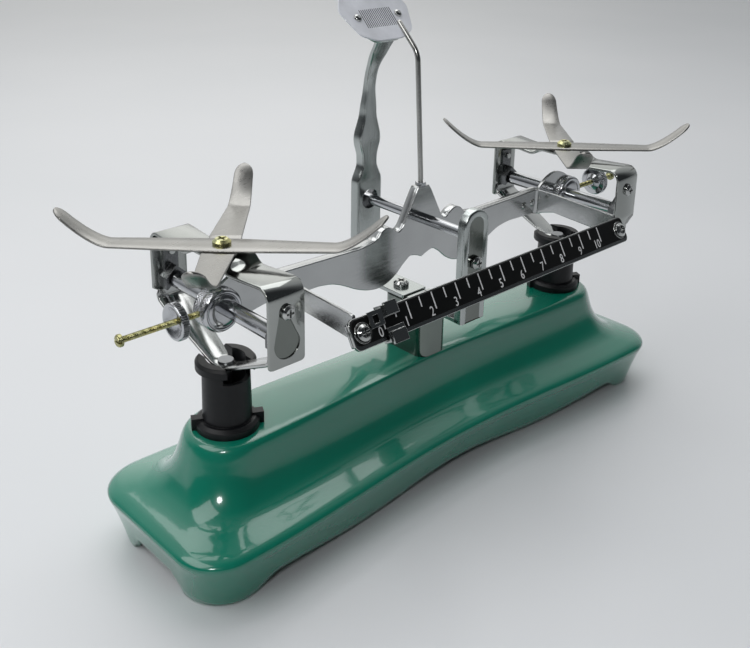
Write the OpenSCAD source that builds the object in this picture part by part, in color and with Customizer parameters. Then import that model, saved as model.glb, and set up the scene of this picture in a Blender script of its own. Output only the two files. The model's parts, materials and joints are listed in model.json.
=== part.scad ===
// Table balance with two pan crosses, a beam on knife edges and a rider scale.
// Millimetres. X runs along the beam, -Y is the side of the rider scale and Z is up.
// The origin is on the table, under the middle of the whole balance. The pieces are drawn with
// Y = 0 on the line of the beam, which lies a little behind that middle, and then moved back.

/* [Base] */
// Length of the base over its rim
base_l = 300; // [288:1:320]
// Width of the base over its rim
base_w = 86; // [82:1:96]
// How far the rim is drawn in at the middle of the long sides
base_waist = 7; // [4:0.5:9]
// Height of the rim crease above the table
crease_h = 22; // [20:0.5:24]
// Height of the flat deck
deck_h = 53.5; // [51:0.5:56]
// Half width of the deck beside the sleeves
deck_half = 18; // [17:0.5:20]
// Wall of the base shell
base_wall = 2.6; // [2:0.1:3]
// How far the end skirts are raised off the table
skirt_lift = 8; // [5:0.5:10]

/* [Beam] */
// Distance from the centre knife to each end knife, along X
end_x = 108.5; // [106:0.5:111]
// Height of the centre knife edge
pivot_z = 118.8; // [117:0.2:121]
// How far the end knife edges lie below the centre one
knife_drop = 11.8; // [11:0.2:13]
// Sheet thickness of the beam
beam_t = 1.5; // [1.2:0.1:2]
// Diameter of the centre knife rod
centre_knife_d = 5; // [4:0.5:6]
// Diameter of the end knife rods
end_knife_d = 7; // [6:0.5:8]
// Diameter of the knife hubs
hub_d = 18; // [16:0.5:20]
// Diameter of the balance nuts
nut_d = 15.2; // [13:0.2:17]
// Thickness of the balance nuts
nut_t = 3.6; // [3:0.1:4.5]
// Diameter of the balance rods
rod_d = 2.6; // [2.2:0.1:3.4]

/* [Rider scale] */
// Length of the scale bar
scale_l = 176.6; // [174:0.2:180]
// Width of the scale bar
scale_w = 12.4; // [11:0.2:14]
// Lean of the scale face from upright, in degrees
scale_lean = 30; // [20:1:35]
// Spacing of the numbered ticks
tick_step = 14; // [13:0.1:14.2]

/* [Pan supports] */
// Width of the stirrup strip
stirrup_w = 17; // [15:0.5:19]
// Half depth of the stirrup over its outer faces
stirrup_half = 40.5; // [39:0.5:43]
// Height of the top of the stirrup
stirrup_top = 131; // [130:0.2:134]
// Height of the lower end of the stirrup plates
stirrup_low = 97; // [95:0.5:99]
// Half span of a pan cross
cross_half = 64; // [58:1:70]
// Rise of the upturned cross tips
cross_rise = 13.5; // [8:0.5:18]
// Turn of each cross from the beam line, in degrees
cross_turn = 44; // [35:1:50]

/* [Stand] */
// Half width of the post and of the front bracket
stand_half = 7.8; // [7:0.2:9]
// Height of the top of the pedestal
pedestal_top = 79; // [76:0.5:81]
// Front face of the rear post
post_y = 33; // [32:0.5:35]
// Outer face of the front bracket
bracket_y = 36; // [35:0.5:37]
// Height of the rivets of the dial
dial_z = 207.5; // [204:0.5:212]

/* [Hidden] */
$fn = 64;
eps = 0.01;
end_z = pivot_z - knife_drop;
knife_gap = 0.1;
running_gap = 0.05;
// Height of the pins under the deck that keep the stems upright
stay_pin_z = 22;
stay_pivot_z = stay_pin_z + knife_drop;
plate_t = 1.5;
beam_line_y = 6.4;
module placed() {
    translate([0, beam_line_y, 0]) children();
}

// Base shell
rim_r = 19.5;
foot_draft = 5.5;
lip_w = 9;
lip_h = 4.8;
deck_wall_drop = 1.7;
deck_round = 1.5;
arc_steps = 7;
side_steps = 17;
end_steps = 4;
foot_blend = 16;
cove_steps = 6;
deck_l = base_l / 2 - 20.5;

function smooth(x) = let (c = min(1, max(0, x))) c * c * (3 - 2 * c);

// One ring of the shell: [half length, half width, corner radius, waist, height]
function rim_ring(inset, height) =
    [base_l / 2 - inset, base_w / 2 - inset, rim_r - 0.3 * inset, base_waist, height];
lip_ring = rim_ring(lip_w, crease_h + lip_h);
wall_ring = [deck_l, deck_half + deck_round, deck_half + 0.8, 4.5, deck_h - deck_wall_drop];
function between(a, b, t) = a * (1 - t) + b * t;
function cove_ring(angle) =
    let (
        across = sin(angle),
        up = 0.82 * (1 - cos(angle)) + 0.18 * sin(angle),
        ring = between(lip_ring, wall_ring, across)
    )
    [ring[0], ring[1], ring[2], ring[3], between(lip_ring[4], wall_ring[4], up)];
function inner(ring, inset, drop) =
    [ring[0] - inset, ring[1] - inset, ring[2] - inset, ring[3], ring[4] - drop];

// The outline of a ring, anticlockwise from the corner in +X +Y
function corner(ring, sx, sy, from) = [
    for (i = [0:arc_steps])
        let (angle = from + 90 * i / arc_steps)
        [
            sx * (ring[0] - ring[2]) + ring[2] * cos(angle),
            sy * (ring[1] - ring[2]) + ring[2] * sin(angle)
        ]
];
function long_side(ring, sy) = [
    for (i = [1:side_steps - 1])
        let (x = sy * (ring[0] - ring[2]) * (1 - 2 * i / side_steps))
        [x, sy * (ring[1] - ring[3] * pow(cos(90 * x / (ring[0] - ring[2])), 2))]
];
function short_side(ring, sx) = [
    for (i = [1:end_steps - 1])
        [sx * ring[0], sx * (ring[1] - ring[2]) * (2 * i / end_steps - 1)]
];
function outline(ring) = concat(
    corner(ring, 1, 1, 0), long_side(ring, 1),
    corner(ring, -1, 1, 90), short_side(ring, -1),
    corner(ring, -1, -1, 180), long_side(ring, -1),
    corner(ring, 1, -1, 270), short_side(ring, 1)
);

// The lower edge of the skirt stands on the corners and is raised and wavy between them
foot_x = base_l / 2 - rim_r;
foot_y = base_w / 2 - rim_r;
function skirt_z(p) = abs(p[0]) >= foot_x - eps
    ? skirt_lift * smooth((foot_y - abs(p[1])) / (0.6 * foot_blend))
    : smooth((foot_x - abs(p[0])) / foot_blend) * (4.6 + 1.8 * cos(360 * p[0] / 118));

rim_points = outline(rim_ring(0, crease_h));
function skirt_ring(inset) =
    let (
        high = outline(rim_ring(inset, 0)),
        low = outline(rim_ring(inset + foot_draft, 0))
    )
    [
        for (i = [0:len(rim_points) - 1])
            let (
                z = skirt_z(rim_points[i]),
                t = (crease_h - z) / crease_h,
                p = between(high[i], low[i], t)
            )
            [p[0], p[1], z]
    ];
function level(ring) = [for (p = outline(ring)) [p[0], p[1], ring[4]]];

deck_edge = [deck_l - deck_round, deck_half, deck_half - 0.4, 4.5, deck_h];
shell_rings = concat(
    [
        skirt_ring(0),
        level(rim_ring(0.4, crease_h - 1.6)),
        level(rim_ring(0, crease_h)),
        level(rim_ring(0.8, crease_h + 1.5)),
        level(rim_ring(2.8, crease_h + 2.9)),
        level(rim_ring(6, crease_h + 3.9))
    ],
    [for (i = [0:cove_steps]) level(cove_ring(90 * i / cove_steps))],
    [
        level([deck_l - 0.5, deck_half + 0.9, deck_half + 0.2, 4.5, deck_h - 0.5]),
        level(deck_edge),
        level(inner(deck_edge, base_wall, base_wall))
    ],
    [
        for (i = [cove_steps - 1:-2:0])
            level(inner(cove_ring(90 * i / cove_steps), 0.8 * base_wall, 0.8 * base_wall))
    ],
    [
        level(inner(rim_ring(2.8, crease_h + 2.9), 0.8 * base_wall, 0.9 * base_wall)),
        level(rim_ring(base_wall + 0.4, crease_h - 1.6)),
        skirt_ring(base_wall)
    ]
);
ring_n = len(rim_points);
last_ring = len(shell_rings) - 1;

module shell_body() {
    top = 6 + cove_steps + 1 + 1;
    deck_middle = (last_ring + 1) * ring_n;
    faces = concat(
        [
            for (k = [0:last_ring], i = [0:ring_n - 1])
                let (next = (k + 1) % (last_ring + 1), j = (i + 1) % ring_n)
                if (k != top)
                [k * ring_n + i, next * ring_n + i, next * ring_n + j]
        ],
        [
            for (k = [0:last_ring], i = [0:ring_n - 1])
                let (next = (k + 1) % (last_ring + 1), j = (i + 1) % ring_n)
                if (k != top)
                [k * ring_n + i, next * ring_n + j, k * ring_n + j]
        ],
        [for (i = [0:ring_n - 1]) [deck_middle, top * ring_n + (i + 1) % ring_n, top * ring_n + i]],
        [
            for (i = [0:ring_n - 1])
                [deck_middle + 1, (top + 1) * ring_n + i, (top + 1) * ring_n + (i + 1) % ring_n]
        ]
    );
    points = concat(
        [for (ring = shell_rings) for (p = ring) p],
        [[0, 0, deck_h], [0, 0, deck_h - base_wall]]
    );
    polyhedron(points, faces, convexity = 8);
}

sleeve_spigot_d = 17;
base_screw_y = 5.5;
screw_d = 4;
module base_shell() {
    color("seagreen")
    difference() {
        shell_body();
        for (side = [-1, 1])
            translate([side * end_x, 0, deck_h - 8]) cylinder(h = 12, d = sleeve_spigot_d);
        for (side = [-1, 1])
            translate([0, side * base_screw_y, deck_h - 8]) cylinder(h = 12, d = screw_d + 0.4);
    }
}

// Guide sleeves
sleeve_top = 84.5;
sleeve_flange_d = 26.4;
sleeve_rim_d = 24.8;
sleeve_mouth_d = 16;
sleeve_bore_d = 11;
groove_w = 13;
groove_floor = 76.6;
// Deep enough for the tip of the V strap at the lowest end of its travel
mouth_floor = 75.4;
ear_turn = -28;
module sleeve(side) {
    color("black")
    translate([side * end_x, 0, 0])
    difference() {
        union() {
            translate([0, 0, deck_h - 6]) cylinder(h = 8, d = sleeve_spigot_d);
            translate([0, 0, deck_h]) cylinder(h = 3, d = sleeve_flange_d);
            translate([0, 0, deck_h + 3])
                cylinder(h = 1.2, d1 = sleeve_flange_d, d2 = sleeve_flange_d - 3);
            translate([0, 0, deck_h + 4])
                cylinder(h = sleeve_top - deck_h - 7, d1 = 20.4, d2 = 19.6);
            translate([0, 0, sleeve_top - 4])
                cylinder(h = 2.8, d = sleeve_rim_d);
            translate([0, 0, sleeve_top - 1.2])
                cylinder(h = 1.2, d1 = sleeve_rim_d, d2 = sleeve_rim_d - 2);
            rotate(ear_turn)
                translate([-sleeve_flange_d / 2 - 1.6, -2, deck_h])
                cube([sleeve_flange_d + 3.2, 4, 5]);
        }
        translate([0, 0, deck_h - 7]) cylinder(h = 40, d = sleeve_bore_d);
        translate([0, 0, mouth_floor - 6]) cylinder(h = 6, d1 = sleeve_bore_d, d2 = sleeve_mouth_d);
        translate([0, 0, mouth_floor - eps])
            cylinder(h = sleeve_top - mouth_floor + 1, d = sleeve_mouth_d);
        translate([-groove_w / 2, -20, groove_floor]) cube([groove_w, 40, 10]);
    }
}

// Shared shapes
module rounded_box(x, y, z, r) {
    linear_extrude(z) {
        square([x, y - 2 * r], center = true);
        square([x - 2 * r, y], center = true);
        for (sx = [-1, 1], sy = [-1, 1])
            translate([sx * (x / 2 - r), sy * (y / 2 - r)]) circle(r);
    }
}

// A pan head screw along +Z with its head on z = 0 and a cross recess
module pan_screw(head_d, head_h, shank_d, shank_l) {
    difference() {
        union() {
            cylinder(h = 0.55 * head_h, d = head_d);
            translate([0, 0, 0.55 * head_h - eps])
                cylinder(h = 0.45 * head_h, d1 = head_d, d2 = 0.66 * head_d);
        }
        for (turn = [0, 90])
            rotate(turn)
            translate([-0.28 * head_d, -0.07 * head_d, 0.45 * head_h])
            cube([0.56 * head_d, 0.14 * head_d, head_h]);
    }
    translate([0, 0, -shank_l]) cylinder(h = shank_l + eps, d = shank_d);
}

// Pedestal
pedestal_w = 17.2;
pedestal_depth = 27;
stand_screw_y = [-8, 10];
module pedestal() {
    color("gainsboro")
    difference() {
        translate([0, 0, deck_h]) rounded_box(pedestal_w, pedestal_depth, pedestal_top - deck_h, 5);
        for (y = stand_screw_y)
            translate([0, y, pedestal_top - 9]) cylinder(h = 10, d = screw_d);
        for (side = [-1, 1])
            translate([0, side * base_screw_y, deck_h - 1]) cylinder(h = 9, d = screw_d);
    }
}

// Rear post: a flanged strip with a waist, bent forward under the dial
post_foot_t = 2;
post_depth = 5;
post_hole_d = 10;
post_bend_z = 181;
post_taper_z = 152;
neck_end = [22.4, 198.7];
post_half_widths = [
    [stand_half, pedestal_top], [stand_half, 129.5], [4.7, 136.5], [4.7, 140],
    [6.7, 148.5], [3.9, 162], [3, 174], [3.2, 182], [5, 192], [6.4, 200]
];
function mirrored(points, shrink = 0) = concat(
    [for (p = points) [p[0] - shrink, p[1]]],
    [for (i = [len(points) - 1:-1:0]) [shrink - points[i][0], points[i][1]]]
);
function side_strip(front, depth) = [
    [front, pedestal_top], [front, post_bend_z],
    [neck_end[0] + front - post_y, neck_end[1]],
    [neck_end[0] + front - post_y + 0.35 * depth, neck_end[1] + 0.3 * depth],
    [front + 0.5 * depth, post_bend_z + 0.2 * depth],
    [front + depth, post_taper_z], [front + depth, pedestal_top]
];
module yz_plate(x0, x1, points) {
    translate([x0, 0, 0]) rotate([90, 0, 90]) linear_extrude(x1 - x0) polygon(points);
}
module xz_plate(y0, y1, points) {
    translate([0, y1, 0]) rotate([90, 0, 0]) linear_extrude(y1 - y0) polygon(points);
}
module post_strip(front, depth, shrink) {
    intersection() {
        yz_plate(-12, 12, side_strip(front, depth));
        xz_plate(10, 50, mirrored(post_half_widths, shrink));
    }
}
dial_lean = 45;
dial_y = 29.7;
dial_t = 0.8;
dial_rivet_x = 12.4;
back_plate_t = 1.2;
module on_dial() {
    translate([0, dial_y, dial_z]) rotate([90 - dial_lean, 0, 0]) children();
}
module rear_post() {
    color("silver")
    difference() {
        union() {
            difference() {
                post_strip(post_y, post_depth, 0);
                post_strip(post_y + plate_t, post_depth, 1.2);
            }
            translate([-stand_half, 0.6, pedestal_top])
                cube([2 * stand_half, post_y + 1.2 - 0.6, post_foot_t]);
            on_dial()
                translate([0, 0, -dial_t - back_plate_t])
                linear_extrude(back_plate_t) polygon([
                    [-9, -13.6], [6, -13.6], [dial_rivet_x + 3.4, -5], [dial_rivet_x + 3.4, 4],
                    [-dial_rivet_x - 3.4, 4], [-dial_rivet_x - 3.4, -5]
                ]);
        }
        translate([0, post_y - 1, pivot_z]) rotate([-90, 0, 0]) cylinder(h = 3.2, d = post_hole_d);
        translate([0, stand_screw_y[1], pedestal_top - 1]) cylinder(h = 5, d = screw_d + 0.4);
        for (side = [-1, 1])
            on_dial() translate([side * dial_rivet_x, 0, -5]) cylinder(h = 6, d = 2);
    }
}

// Front bracket: a channel with an arched top
bracket_depth = 4.6;
bracket_arch_z = 124;
module arch(half, low) {
    translate([-half, low]) square([2 * half, bracket_arch_z - low]);
    translate([0, bracket_arch_z]) circle(half);
}
module front_bracket() {
    color("silver")
    difference() {
        union() {
            translate([0, -bracket_y + bracket_depth, 0]) rotate([90, 0, 0])
                linear_extrude(bracket_depth) arch(stand_half, pedestal_top);
            translate([-stand_half, -bracket_y, pedestal_top])
                cube([2 * stand_half, bracket_y - 0.6, post_foot_t]);
        }
        translate([0, -bracket_y + bracket_depth + eps, 0]) rotate([90, 0, 0])
            linear_extrude(bracket_depth - plate_t + eps)
                arch(stand_half - 1.3, pedestal_top + post_foot_t);
        translate([0, stand_screw_y[0], pedestal_top - 1]) cylinder(h = 5, d = screw_d + 0.4);
        translate([0, -bracket_y - 1, bearing_screw_z]) rotate([-90, 0, 0]) cylinder(h = 4, d = 3.2);
    }
}

// Bearing blocks with a V notch that is open at the top
bearing_screw_z = 107.4;
bearing_half = 5.5;
notch_half = 4.4;
notch_rise = 3.6;
module bearing_block(y0, y1) {
    z = pivot_z - knife_gap;
    xz_plate(y0, y1, [
        [-bearing_half, bearing_screw_z - 4], [bearing_half, bearing_screw_z - 4],
        [bearing_half, z + notch_rise], [notch_half, z + notch_rise], [0, z],
        [-notch_half, z + notch_rise], [-bearing_half, z + notch_rise]
    ]);
}
module rear_bearing() {
    color("dimgray")
    difference() {
        bearing_block(post_y + plate_t, post_y + post_depth - 0.4);
        translate([0, post_y, bearing_screw_z]) rotate([-90, 0, 0]) cylinder(h = 8, d = 3);
    }
}
module front_bearing() {
    color("dimgray")
    difference() {
        bearing_block(-bracket_y + plate_t, -bracket_y + bracket_depth);
        translate([0, -bracket_y, bearing_screw_z]) rotate([-90, 0, 0]) cylinder(h = 8, d = 3);
    }
}

module stand_screws() {
    color("silver")
    for (y = stand_screw_y)
        translate([0, y, pedestal_top + post_foot_t]) pan_screw(7.4, 2.6, screw_d, post_foot_t + 8.5);
}
module pedestal_screws() {
    color("silver")
    for (side = [-1, 1])
        translate([0, side * base_screw_y, deck_h - base_wall - bracket_top_t])
        rotate([180, 0, 0]) pan_screw(7, 2.4, screw_d, base_wall + bracket_top_t + 7.6);
}
module bearing_screws() {
    color("silver") {
        translate([0, -bracket_y, bearing_screw_z]) rotate([90, 0, 0])
            pan_screw(6, 2.2, 3, bracket_depth - 0.2);
        translate([0, post_y + post_depth - 0.4, bearing_screw_z]) rotate([-90, 0, 0])
            pan_screw(6, 2, 3, post_depth - plate_t - 0.4);
    }
}

// Dial
dial_points = [
    [-8, -13.2], [8, -13.2], [16, -9.4], [21, 4.5], [17, 11.5], [9, 15],
    [-9, 15], [-17, 11.5], [-21, 4.5], [-16, -9.4]
];
module dial_plate() {
    color("whitesmoke")
    on_dial()
    difference() {
        translate([0, 0, -dial_t]) linear_extrude(dial_t) polygon(dial_points);
        for (side = [-1, 1]) translate([side * dial_rivet_x, 0, -2]) cylinder(h = 3, d = 2);
    }
}
module dial_rivets() {
    color("silver")
    for (side = [-1, 1])
        on_dial()
        translate([side * dial_rivet_x, 0, 0]) {
            cylinder(h = 0.7, d1 = 4, d2 = 3.4);
            translate([0, 0, 0.7 - eps]) cylinder(h = 0.6, d1 = 3.4, d2 = 1.8);
            translate([0, 0, -dial_t - back_plate_t]) cylinder(h = 2.4, d = 2);
            translate([0, 0, -dial_t - back_plate_t - 0.6]) cylinder(h = 0.6, d = 3.6);
        }
}

// Stay bracket under the deck
bracket_top_t = 1.6;
cheek_y = 9.6;
cheek_t = 1.4;
pivot_pin_d = 4;
module stay_bracket() {
    top = deck_h - base_wall;
    cheek_low = stay_pivot_z - 5;
    color("silver")
    difference() {
        union() {
            translate([-7, -cheek_y - cheek_t, top - bracket_top_t])
                cube([14, 2 * (cheek_y + cheek_t), bracket_top_t]);
            for (y = [-cheek_y - cheek_t, cheek_y])
                translate([-6, y, cheek_low]) cube([12, cheek_t, top - cheek_low]);
        }
        translate([0, -20, stay_pivot_z]) rotate([-90, 0, 0]) cylinder(h = 40, d = pivot_pin_d);
        for (side = [-1, 1])
            translate([0, side * base_screw_y, top - 4]) cylinder(h = 8, d = screw_d + 0.4);
    }
}
module stay_pivot_pin() {
    color("silver")
    translate([0, -cheek_y - cheek_t - 1, stay_pivot_z]) rotate([-90, 0, 0]) {
        cylinder(h = 2 * (cheek_y + cheek_t) + 2, d = pivot_pin_d);
        translate([0, 0, -1]) cylinder(h = 1.4, d = pivot_pin_d + 2.5);
    }
}

// Stay lever: the hidden lower link that keeps both stems upright
lever_y = 2;
lever_t = 2;
lever_half = 4;
bush_d = 8;
eye_pin_d = 3;
eye_gap = 0.3;
module stay_lever() {
    color("silver")
    difference() {
        union() {
            for (side = [-1, 1])
                xz_plate(lever_y, lever_y + lever_t, [
                    [0, stay_pivot_z - lever_half], [side * end_x, stay_pin_z - lever_half],
                    [side * end_x, stay_pin_z + lever_half], [0, stay_pivot_z + lever_half]
                ]);
            for (p = [[-end_x, stay_pin_z], [end_x, stay_pin_z]])
                translate([p[0], lever_y, p[1]]) rotate([-90, 0, 0]) cylinder(h = lever_t, r = 5);
            translate([0, lever_y, stay_pivot_z]) rotate([-90, 0, 0]) cylinder(h = lever_t, r = 7);
        }
        translate([0, -20, stay_pivot_z]) rotate([-90, 0, 0]) cylinder(h = 40, d = bush_d);
        for (side = [-1, 1])
            translate([side * end_x, -20, stay_pin_z]) rotate([-90, 0, 0])
            cylinder(h = 40, d = eye_pin_d);
    }
}
module stay_bush() {
    color("darkgoldenrod")
    translate([0, -cheek_y + 0.2, stay_pivot_z]) rotate([-90, 0, 0])
    difference() {
        cylinder(h = 2 * cheek_y - 0.4, d = bush_d);
        translate([0, 0, -1]) cylinder(h = 2 * cheek_y + 2, d = pivot_pin_d + 2 * running_gap);
    }
}
module stay_end_pins() {
    color("silver")
    for (side = [-1, 1])
        translate([side * end_x, -3, stay_pin_z]) rotate([-90, 0, 0]) {
            cylinder(h = lever_y + lever_t + 3.8, d = eye_pin_d);
            translate([0, 0, lever_y + lever_t + 3]) cylinder(h = 1, d = eye_pin_d + 2);
        }
}

// Beam frame: one pressing with a back rim, two forward arms and the tabs of the scale
beam_y = -3;
rim_depth = 5;
arm_x = 84.4;
arm_low = 105;
arm_top = 114.8;
beam_lower = [
    [0, 99.8], [4, 101.5], [7.5, 102.2], [11.5, 99.6], [17, 94.7], [22, 92.2], [27.5, 91.3],
    [34, 92.3], [41, 94.9], [47.5, 98.5], [54, 101.3], [62, 102.6], [arm_x, 101.8]
];
beam_upper = [
    [arm_x, arm_top], [38, 113.6], [28.5, 115.2], [26, 118.4], [22, 119.8], [18.5, 118.2],
    [15.5, 115.4], [12.5, 117.5], [4.6, 132.6], [3.4, 134.3]
];
beam_rim = [
    [arm_x, arm_top - 1.2], [38.2, 112.4], [28, 113.8], [25, 117.2], [22, 118.4], [19.4, 117.2],
    [15.6, 113.8], [11.2, 117], [3.4, 131.8], [2.8, 133]
];
function reversed(points) = [for (i = [len(points) - 1:-1:0]) points[i]];
function flipped(points) = [for (p = points) [-p[0], p[1]]];
// The scale bar lies in a frame turned about its screw line: x, outward normal, up the face
scale_y = -54;
scale_z = 107.2;
module on_scale() {
    translate([0, scale_y, scale_z]) rotate([-scale_lean, 0, 0]) children();
}
tab_back = 2;
scale_screw_x = 83.3;
module beam_frame() {
    color("lightsteelblue")
    difference() {
        union() {
            xz_plate(beam_y, beam_y + beam_t, concat(
                beam_lower, beam_upper, reversed(flipped(beam_upper)), reversed(flipped(beam_lower))
            ));
            xz_plate(beam_y + eps, beam_y + rim_depth, concat(
                beam_upper, reversed(flipped(beam_upper)),
                flipped(beam_rim), reversed(beam_rim)
            ));
            for (side = [-1, 1]) {
                yz_plate(side * arm_x - beam_t / 2, side * arm_x + beam_t / 2, [
                    [beam_y, 101.8], [-14, arm_low], [-50, arm_low - 2], [-53.5, arm_low - 2],
                    [-48.6, arm_top - 1.4], [-14, arm_top], [beam_y + rim_depth, arm_top],
                    [beam_y + rim_depth, arm_top - 1.2], [beam_y + beam_t, arm_top - 1.2],
                    [beam_y + beam_t, 101.8]
                ]);
                on_scale()
                    translate([side * scale_screw_x - 5, tab_back, -4.5])
                    cube([10, beam_t, 9.5]);
            }
        }
        translate([0, beam_y - 1, pivot_z]) rotate([-90, 0, 0]) cylinder(h = 4, d = centre_knife_d);
        translate([0, pointer_y, pointer_base_z - 4]) cylinder(h = 8, d = pointer_d);
        for (side = [-1, 1])
            on_scale() translate([side * scale_screw_x, 0, 0]) rotate([-90, 0, 0])
            cylinder(h = 8, d = 3);
        for (side = [-1, 1], p = rivet_places)
            translate([side * p[0], beam_y - 1, p[1]]) rotate([-90, 0, 0]) cylinder(h = 4, d = 2.4);
    }
}

// Knife arms carry the end knives and hubs, riveted behind the beam
knife_arm_y = beam_y + beam_t;
knife_arm_t = 1.6;
rivet_places = [[74, 108], [81, 108]];
hub_x = end_x + 3;
hub_depth = 9;
module knife_arm(side) {
    color("lightsteelblue")
    difference() {
        xz_plate(knife_arm_y, knife_arm_y + knife_arm_t, [
            for (p = [
                [69, 105], [80, 103.6], [end_x - 18.5, 102.4], [end_x - 8.5, 100.5],
                [end_x - 0.5, 99.4], [end_x + 4.5, 101], [end_x + 7, 107], [end_x + 4.5, 114.5],
                [end_x - 1.5, 119], [end_x - 8.5, 120.4], [end_x - 15.5, 118.2],
                [end_x - 22.5, 113.4], [69, 111.5]
            ]) [side * p[0], p[1]]
        ]);
        translate([side * hub_x, -20, end_z]) rotate([-90, 0, 0]) cylinder(h = 40, d = hub_d);
        for (p = rivet_places)
            translate([side * p[0], -8, p[1]]) rotate([-90, 0, 0]) cylinder(h = 14, d = 2.4);
    }
}
module knife_arm_rivets() {
    color("silver")
    for (side = [-1, 1], p = rivet_places)
        translate([side * p[0], beam_y - 0.7, p[1]]) rotate([-90, 0, 0]) {
            cylinder(h = 0.7, d1 = 2.6, d2 = 4);
            cylinder(h = beam_t + knife_arm_t + 1.4, d = 2.4);
            translate([0, 0, beam_t + knife_arm_t + 0.7]) cylinder(h = 0.7, d1 = 4, d2 = 2.6);
        }
}

// A knife rod along Y whose ends are ground to an edge on its axis
module knife_rod(d, y0, y1, end_l, edge_up) {
    tip = edge_up ? 1 : -1;
    translate([0, y0 + end_l, 0]) rotate([-90, 0, 0]) cylinder(h = y1 - y0 - 2 * end_l, d = d);
    for (y = [y0, y1 - end_l])
        intersection() {
            translate([0, y - eps, 0]) rotate([-90, 0, 0]) cylinder(h = end_l + 2 * eps, d = d);
            xz_plate(y - eps, y + end_l + eps, [[0, 0], [-d, -tip * d], [d, -tip * d]]);
        }
}
centre_knife_front = -bracket_y + plate_t + 0.3;
centre_knife_rear = post_y + post_depth - 1;
module centre_knife() {
    color("lightslategray")
    translate([0, 0, pivot_z])
        knife_rod(centre_knife_d, centre_knife_front, centre_knife_rear, 5.5, false);
}
end_knife_tip = 6;
end_knife_half = stirrup_half - plate_t - 0.4;
module end_knife(side) {
    color("lightslategray")
    translate([side * end_x, 0, end_z])
        knife_rod(end_knife_d, -end_knife_half, end_knife_half, end_knife_tip, true);
}
hub_chamfer = 0.6;
module hub(side) {
    color("silver")
    difference() {
        translate([side * hub_x, -hub_depth / 2, end_z]) rotate([-90, 0, 0]) {
            cylinder(h = hub_chamfer, d1 = hub_d - 2 * hub_chamfer, d2 = hub_d);
            translate([0, 0, hub_chamfer - eps])
                cylinder(h = hub_depth - 2 * hub_chamfer + 2 * eps, d = hub_d);
            translate([0, 0, hub_depth - hub_chamfer])
                cylinder(h = hub_chamfer, d1 = hub_d, d2 = hub_d - 2 * hub_chamfer);
        }
        translate([side * end_x, -hub_depth, end_z]) rotate([-90, 0, 0])
            cylinder(h = 2 * hub_depth, d = end_knife_d);
        translate([side * rod_start, 0, end_z]) rotate([0, side * 90, 0]) cylinder(h = 10, d = rod_d);
    }
}

// Balance rods and nuts
rod_start = hub_x + hub_d / 2 - 4;
rod_end = end_x + 45.1;
rod_head_d = 5;
nut_left_x = end_x + 21.7;
nut_right_x = end_x + 31;
nut_boss_l = 2.2;
module balance_rod(side) {
    rod_l = rod_end - rod_start;
    color("khaki")
    translate([side * rod_start, 0, end_z]) rotate([0, side * 90, 0])
    difference() {
        union() {
            cylinder(h = rod_l, d = rod_d);
            translate([0, 0, rod_l]) cylinder(h = 1.2, d = rod_head_d);
            translate([0, 0, rod_l + 1.2 - eps])
                cylinder(h = 0.8, d1 = rod_head_d, d2 = 0.7 * rod_head_d);
        }
        translate([-0.4, -5, rod_l + 1]) cube([0.8, 10, 3]);
    }
}
module balance_nut(side, nut_x) {
    color("silver")
    translate([side * (nut_x - nut_t / 2), 0, end_z]) rotate([0, side * 90, 0])
    difference() {
        union() {
            translate([0, 0, 0.4]) cylinder(h = nut_t - 0.8, d = nut_d);
            cylinder(h = 0.41, d1 = nut_d - 0.8, d2 = nut_d);
            translate([0, 0, nut_t - 0.41]) cylinder(h = 0.41, d1 = nut_d, d2 = nut_d - 0.8);
            translate([0, 0, -nut_boss_l]) cylinder(h = nut_boss_l + eps, d1 = 5.6, d2 = 9);
        }
        translate([0, 0, -nut_boss_l - 1])
            cylinder(h = nut_t + nut_boss_l + 2, d = rod_d + 2 * running_gap);
        translate([0, 0, nut_t - 1.4]) cylinder(h = 1.41, d1 = 6, d2 = nut_d - 2.4);
    }
}

// Pointer: a wire with a bend that lies along the dial
pointer_d = 2.4;
pointer_base_z = 134.3;
pointer_y = -0.6;
pointer_bend = [3.7, 194.3];
pointer_tip = [16.5, 207.1];
module rod_between(a, b, d) {
    run = b - a;
    translate([0, a[0], a[1]]) rotate([-atan2(run[0], run[1]), 0, 0]) cylinder(h = norm(run), d = d);
}
module pointer() {
    color("silver") {
        rod_between([pointer_y, pointer_base_z - 3], [pointer_y, pointer_base_z + 3], pointer_d);
        rod_between([pointer_y, pointer_base_z + 2], pointer_bend, pointer_d);
        translate([0, pointer_bend[0], pointer_bend[1]]) sphere(d = pointer_d + 0.1, $fn = 32);
        rod_between(pointer_bend, pointer_tip, pointer_d);
    }
}
module pointer_nut() {
    color("silver")
    translate([0, pointer_y, pointer_base_z])
    difference() {
        cylinder(h = 1.6, d = 5, $fn = 6);
        translate([0, 0, -1]) cylinder(h = 4, d = pointer_d);
    }
}

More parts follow.
